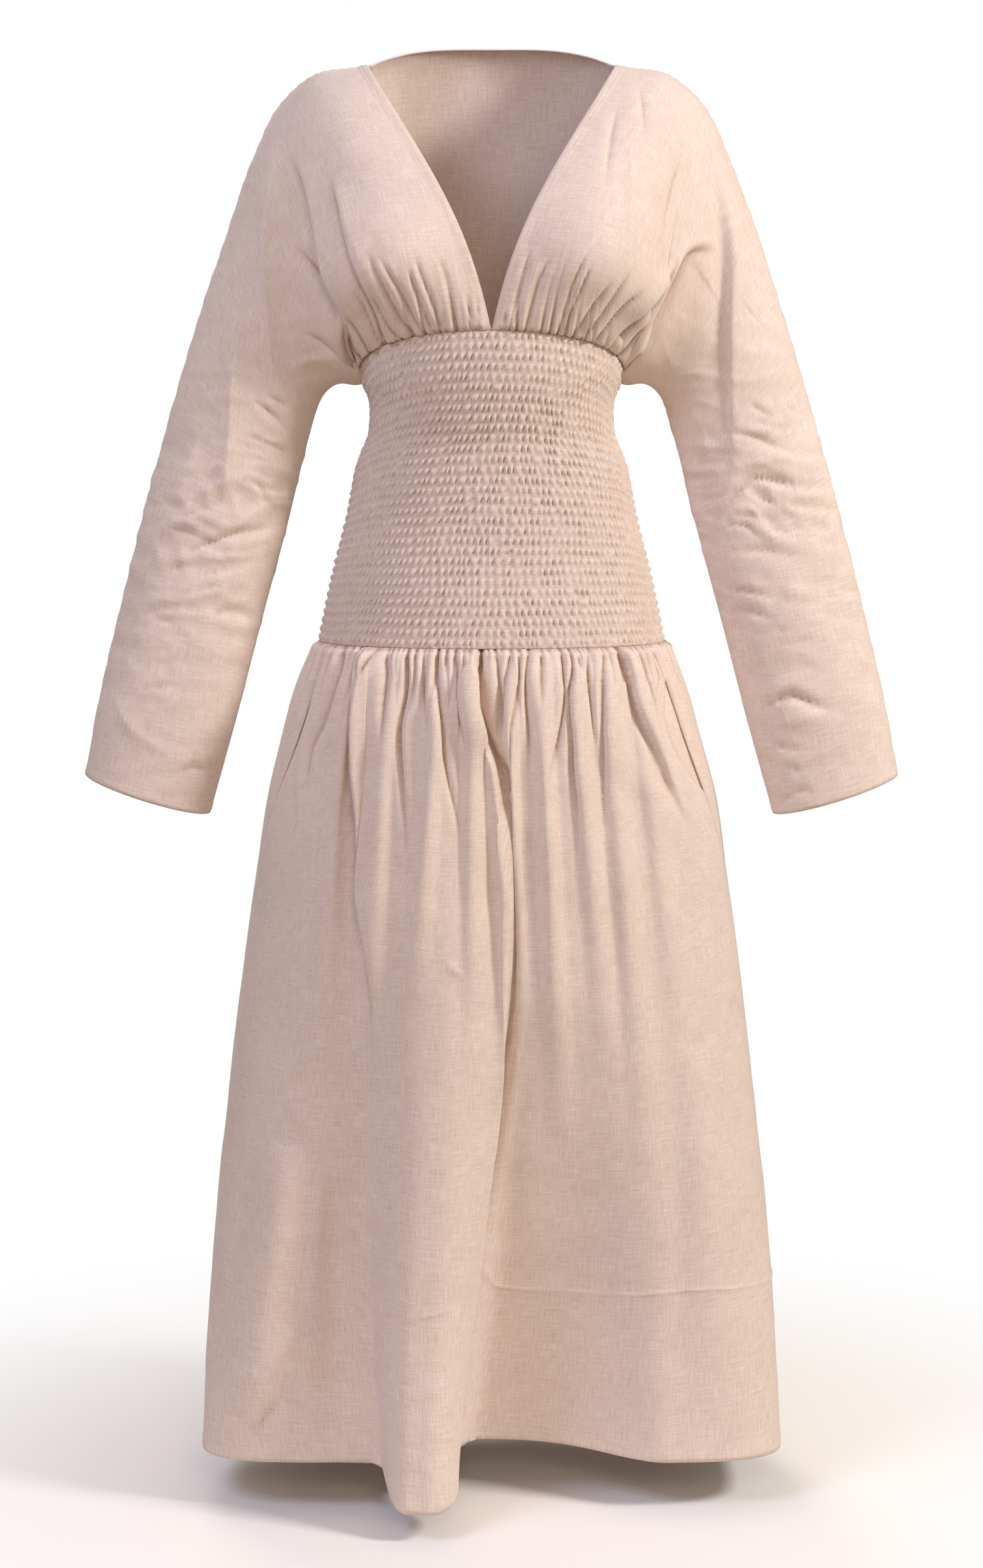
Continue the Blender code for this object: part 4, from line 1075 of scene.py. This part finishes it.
def backGathers():
    # gathers of the skirt back, uneven like those in front
    random = np.random.default_rng(skirt["seed"])
    count = skirt["backGathers"]
    top = -558.0   # mm, just above the hip seam
    folds = []
    for k in range(count):
        start = -158.0 + 316.0 * (k + 0.5 + random.uniform(-0.22, 0.22)) / count
        long = random.choice([40.0, 90.0, 150.0, 210.0]) * random.uniform(0.8, 1.2)
        deep = random.uniform(2.6, 4.4)
        spread = start * (0.25 + 0.0016 * long) * long / 150.0 * 0.35
        drift = random.uniform(-4.0, 4.0)
        folds.append((deep, random.uniform(3.2, 4.6), start, top, start + 0.2 * spread, top - 0.25 * long,
                      start + 0.6 * spread + drift, top - 0.6 * long, start + spread, top - long))
    return {("valley", "end"): folds}


def bagDepth(inward):
    start, end = pocket["slope"]
    deeper = pocket["depth"] - pocket["seamDepth"]
    return pocket["seamDepth"] + deeper * ease((inward - start) / (end - start))


def skirtPanel(side):
    front = side == "front"
    share = np.linspace(0.0, 1.0, skirt["columns"][side])
    step = np.linspace(0.0, 1.0, skirt["rows"][side])
    drop = skirt["length"] * (0.42 * step + 0.58 * step ** 1.9)
    if front:
        # close rows for the pressed line that crosses the skirt
        drop = np.sort(np.concatenate([drop, np.linspace(*skirt["pressedLine"], 12)]))
    base = np.zeros((len(drop), len(share), 3))
    normals = np.zeros_like(base)
    for r, d in enumerate(drop):
        z = hipSeam - seamHalfGap - d
        ring = skirtRing(z)
        total, seams = ring[2][-1], ring[3]
        if front:
            start = seams[0] + seamHalfGap + mouthGap(z, "r")
            end = seams[1] - seamHalfGap - mouthGap(z, "l")
        else:
            start, end = seams[1] + seamHalfGap, seams[0] + total - seamHalfGap
        xy, out = ringPoints(ring, start + (end - start) * share)
        low = np.zeros_like(share)
        if front:
            low = skirt["foldDrop"] * foldProfile(xy[:, 0], bigFold[-1][1:]) * ease((d - 0.55) / 0.27)
        base[r, :, :2] = xy
        base[r, :, 2] = z - low
        normals[r, :, :2] = out
    x, z = base[:, :, 0], base[:, :, 2]
    folds = skirtFolds if front else backGathers()
    height = foldRelief(x, z, folds, skirt["foldStrength"])
    height *= 1.0 + 0.35 * ease(-x / 0.08)     # the gathers on the wearer's right lie deeper
    fall = drop[:, None]
    height *= 0.7 + 0.3 * ease(fall / 0.01)
    height += skirt["blouse"] * ease(fall / 0.005) * (1.0 - ease((fall - 0.012) / 0.11)) * mm
    gatherSeed, rumpleSeed = skirt["seeds"][side]
    # 0.36 and 0.6 m stand for the width of a panel at the hip and lower down
    height += ruffles(share * 0.36, fall, skirt["gatherPitch"], skirt["gatherHeight"], gatherSeed)
    height += rumple(share[None, :] * 0.6, z, rumpleSeed)
    edge = ease(share / 0.02) * ease((1.0 - share) / 0.02)
    height *= edge[None, :]
    if front:
        # the folds stay outside the pocket bags
        _, along = gridDistances(base)
        inward = np.minimum(along, along[:, -1:] - along)
        room = bagDepth(inward) - skirt["wall"] - 1.5 * mm
        overBag = ease(inward / 0.015) * (1.0 - ease((inward - 0.06) / 0.05))
        overBag = overBag * (1.0 - ease((fall - 0.15) / 0.12))
        height += skirt["pocketRoom"] * mm * overBag
        away = ease((inward - pocket["reach"]) / 0.02)
        away = np.maximum(away, ease((z - skirt["pocketTop"]) / 0.02))
        away = np.maximum(away, ease((pocket["bottom"] - z) / 0.02))
        height = np.maximum(height, -np.maximum(room, 0.2 * mm) - 20.0 * mm * away)
    fromHem = (drop[-1] - drop)[:, None] + 0.0 * x
    height += turnedHem(fromHem, skirt["hemBand"])
    # painted shade in the creases, strongest just under the hip seam
    piece, outer = clothShell("skirt_" + side + "_cloth", base, normals, height, skirt["wall"], cloth,
                              (4, 4), (gatherDepth, 0.0), 0.15 + 0.65 * np.exp(-fall / 0.13))
    upwards = outer[::-1].swapaxes(0, 1)
    stitchLines.append(lineAt(upwards, fromHem[::-1].T, skirt["hemBand"] - hemStitchInset))
    return piece


skirtFront = skirtPanel("front")
skirtBack = skirtPanel("back")


# Pocket bags inside the side seams

def pocketBag(side):
    heights = np.linspace(skirt["pocketTop"], pocket["bottom"], 41)
    share = np.linspace(0.0, 1.0, 31)
    base = np.zeros((len(heights), len(share), 3))
    normals = np.zeros_like(base)
    for r, z in enumerate(heights):
        ring = skirtRing(z)
        down = (heights[0] - z) / (heights[0] - heights[-1])
        reach = pocket["reach"] * (0.55 + 0.45 * math.sin(math.pi * (0.15 + 0.72 * down)))
        wide = pocket["tuck"] + reach
        if side == "l":
            inward = wide * share[::-1]
            lengths = ring[3][1] + pocket["tuck"] - inward
        else:
            inward = wide * share
            lengths = ring[3][0] - pocket["tuck"] + inward
        xy, out = ringPoints(ring, lengths)
        base[r, :, :2] = xy - out * bagDepth(inward)[:, None]
        base[r, :, 2] = z
        normals[r, :, :2] = out
    height = 0.6 * rumple(base[:, :, 0] + base[:, :, 1], base[:, :, 2], 71)
    return clothShell("pocket_" + side + "_cloth", base, normals, height, pocket["wall"], cloth)


pocketLeft, _ = pocketBag("l")
pocketRight, _ = pocketBag("r")


# Stitches of the turned hems at the neck, cuffs and skirt edge

stitching = {
    "Pitch": 3.0 * mm,
    "Stitch length": 2.4 * mm,
    "Thread width": 0.5 * mm,   # real thread is 0.3 mm; drawn thicker to show
}


def stitchTree():
    # node group that lays one thin loop of thread at each step along the lines
    tree = bpy.data.node_groups.new("stitchRow", "GeometryNodeTree")
    tree.interface.new_socket("Geometry", in_out="INPUT", socket_type="NodeSocketGeometry")
    for name in stitching:
        tree.interface.new_socket(name, in_out="INPUT", socket_type="NodeSocketFloat")
    tree.interface.new_socket("Geometry", in_out="OUTPUT", socket_type="NodeSocketGeometry")
    given = addNode(tree, "NodeGroupInput")
    curve = addNode(tree, "GeometryNodeMeshToCurve", links={"Mesh": given})
    steps = addNode(tree, "GeometryNodeResampleCurve", {"mode": "LENGTH"},
                    links={"Curve": curve, "Length": given.outputs["Pitch"]})
    loop = addNode(tree, "GeometryNodeMeshUVSphere", values={"Segments": 5, "Rings": 4, "Radius": 0.5})
    wide, long = given.outputs["Thread width"], given.outputs["Stitch length"]
    size = addNode(tree, "ShaderNodeCombineXYZ", links={"X": wide, "Y": wide, "Z": long})
    tangent = addNode(tree, "GeometryNodeInputTangent")
    turn = addNode(tree, "FunctionNodeAlignRotationToVector", {"axis": "Z"}, links={"Vector": tangent})
    laid = addNode(tree, "GeometryNodeInstanceOnPoints",
                   links={"Points": steps, "Instance": loop, "Rotation": turn, "Scale": size})
    solid = addNode(tree, "GeometryNodeRealizeInstances", links={"Geometry": laid})
    dressed = addNode(tree, "GeometryNodeSetMaterial", values={"Material": thread}, links={"Geometry": solid})
    addNode(tree, "NodeGroupOutput", links={"Geometry": dressed})
    return tree


def sewHems(lines):
    points = np.vstack(lines)
    edges, first = [], 0
    for line in lines:
        edges += [(first + k, first + k + 1) for k in range(len(line) - 1)]
        first += len(line)
    guide = bpy.data.meshes.new("hemLines")
    guide.from_pydata(points, edges, [])
    sewn = addObject("hem_stitches", guide)
    modifier = sewn.modifiers.new("stitches", "NODES")
    modifier.node_group = stitchTree()
    for item in modifier.node_group.interface.items_tree:
        if item.in_out == "INPUT" and item.name in stitching:
            modifier[item.identifier] = stitching[item.name]
    made = sewn.evaluated_get(bpy.context.evaluated_depsgraph_get())
    mesh = bpy.data.meshes.new_from_object(made)
    sewn.modifiers.clear()
    sewn.data = mesh
    mesh.shade_smooth()
    print("stitches", sum(len(face.vertices) - 2 for face in mesh.polygons), "triangles")
    return sewn


stitches = sewHems(stitchLines)


# Studio

studio = {
    "floorHalfSize": 1.4,
    "floorDrop": 0.03,       # below the lowest point of the dress
    "floorFade": (0.15, 1.0),   # the paper fades into the backdrop between these distances
    "paper": "#FAF9F8",
    "skyColour": "#FFE9D3",
    "skyStrength": 0.34,
    "lens": 74.06,           # mm, on a sensor 36 mm wide
    "cameraPlace": (0.0, -3.2, -0.3117),
    "cameraDip": 7.0,        # degrees that it looks down
}
lights = (
    # name, place, target, size in metres, watts, colour
    ("leftKey", (-1.9, -2.0, 1.7), (0.0, 0.0, -0.6), 1.3, 48.0, "#CFDAFF"),
    ("rightKey", (2.4, -1.2, 0.9), (0.0, 0.0, -0.6), 0.6, 68.0, "#FFFAF6"),
    ("frontFill", (0.3, -3.3, 0.4), (0.0, 0.0, -0.4), 1.0, 20.0, "#FFE6D2"),
    ("backRim", (-1.0, 2.6, 1.4), (0.0, 0.0, -0.6), 1.6, 34.0, "#FFF8F2"),
)


def addStage():
    half = studio["floorHalfSize"]
    mesh = bpy.data.meshes.new("paleFloor")
    mesh.from_pydata([(-half, -half, 0.0), (half, -half, 0.0), (half, half, 0.0), (-half, half, 0.0)], [],
                     [(0, 1, 2, 3)])
    floor = addObject("paleFloor", mesh)
    floor.location = (0.0, 0.0, cadBox[0][2] - studio["floorDrop"])
    plain = {"Base Color": colour(studio["paper"]), "Roughness": 1.0, "Specular IOR Level": 0.0}
    material, tree, shader = newMaterial("mattWhitePaper", plain)   # plain studio paper
    place = addNode(tree, "ShaderNodeTexCoord")
    away = addNode(tree, "ShaderNodeVectorMath", {"operation": "LENGTH"},
                   links={"Vector": place.outputs["Object"]})
    fadeStart, fadeEnd = studio["floorFade"]
    paper = addNode(tree, "ShaderNodeMapRange", {"interpolation_type": "SMOOTHSTEP"},
                    {"From Min": fadeStart, "From Max": fadeEnd, "To Min": 1.0, "To Max": 0.0},
                    {"Value": away.outputs["Value"]})
    tree.links.new(paper.outputs["Result"], shader.inputs["Alpha"])
    mesh.materials.append(material)


def addLight(name, place, target, size, power, tone):
    data = bpy.data.lights.new(name, "AREA")
    data.size = size
    data.energy = power
    data.color = colour(tone)[:3]
    light = addObject(name, data)
    light.location = place
    toward = np.array(target) - np.array(place)
    toward /= np.linalg.norm(toward)
    turn = math.atan2(toward[1], toward[0]) - math.pi / 2.0
    light.rotation_euler = (math.acos(-toward[2]), 0.0, turn)


def addCamera():
    data = bpy.data.cameras.new("camera")
    data.lens = studio["lens"]
    data.sensor_width = 36.0
    camera = addObject("camera", data)
    camera.location = studio["cameraPlace"]
    camera.rotation_euler = (math.radians(90.0 - studio["cameraDip"]), 0.0, 0.0)
    bpy.context.scene.camera = camera


def addWorld():
    # the camera sees plain white, and the cloth is lit by a warm sky
    world = bpy.data.worlds.new("studio")
    bpy.context.scene.world = world
    world.use_nodes = True
    tree = world.node_tree
    sky = tree.nodes["Background"]
    sky.inputs["Color"].default_value = colour(studio["skyColour"])
    sky.inputs["Strength"].default_value = studio["skyStrength"]
    seen = addNode(tree, "ShaderNodeBackground", values={"Color": (1.0, 1.0, 1.0, 1.0), "Strength": 1.0})
    path = addNode(tree, "ShaderNodeLightPath")
    mix = addNode(tree, "ShaderNodeMixShader",
                  links={0: path.outputs["Is Camera Ray"], 1: sky, 2: seen})
    tree.links.new(mix.outputs[0], tree.nodes["World Output"].inputs["Surface"])


addStage()
addWorld()
for light in lights:
    addLight(*light)
addCamera()
bpy.context.scene.view_settings.view_transform = "Standard"
print("studio made")


# Every piece rides on the one body and stands for its CAD solid

pieces = (
    # piece, node, slot, flat width and length in metres, how it is held, what it rests on
    (bodiceLeft, "bodice_front_l", "cloth", (0.25, 0.80), "draped", ["bodice_back", "waist_panel_front"]),
    (bodiceRight, "bodice_front_r", "cloth", (0.25, 0.80), "draped", ["bodice_back", "waist_panel_front"]),
    (backPiece, "bodice_back", "cloth", (0.80, 0.50), "draped", ["bodice_front_l", "bodice_front_r"]),
    (panelFront, "waist_panel_front", "shirred_cloth", (0.54, 0.30), "gathered", ["waist_panel_back"]),
    (panelBack, "waist_panel_back", "shirred_cloth", (0.52, 0.27), "gathered", ["waist_panel_front"]),
    (skirtFront, "skirt_front", "cloth", (0.98, 0.835), "gathered", ["waist_panel_front"]),
    (skirtBack, "skirt_back", "cloth", (0.77, 0.815), "gathered", ["waist_panel_back"]),
    (pocketLeft, "pocket_l", "cloth", (0.11, 0.16), "hung", ["skirt_back"]),
    (pocketRight, "pocket_r", "cloth", (0.11, 0.16), "hung", ["skirt_back"]),
)
for piece, node, slot, flat, held, restsOn in pieces:
    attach(piece, "root")
    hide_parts(node)
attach(stitches, "root")
print("pieces placed")
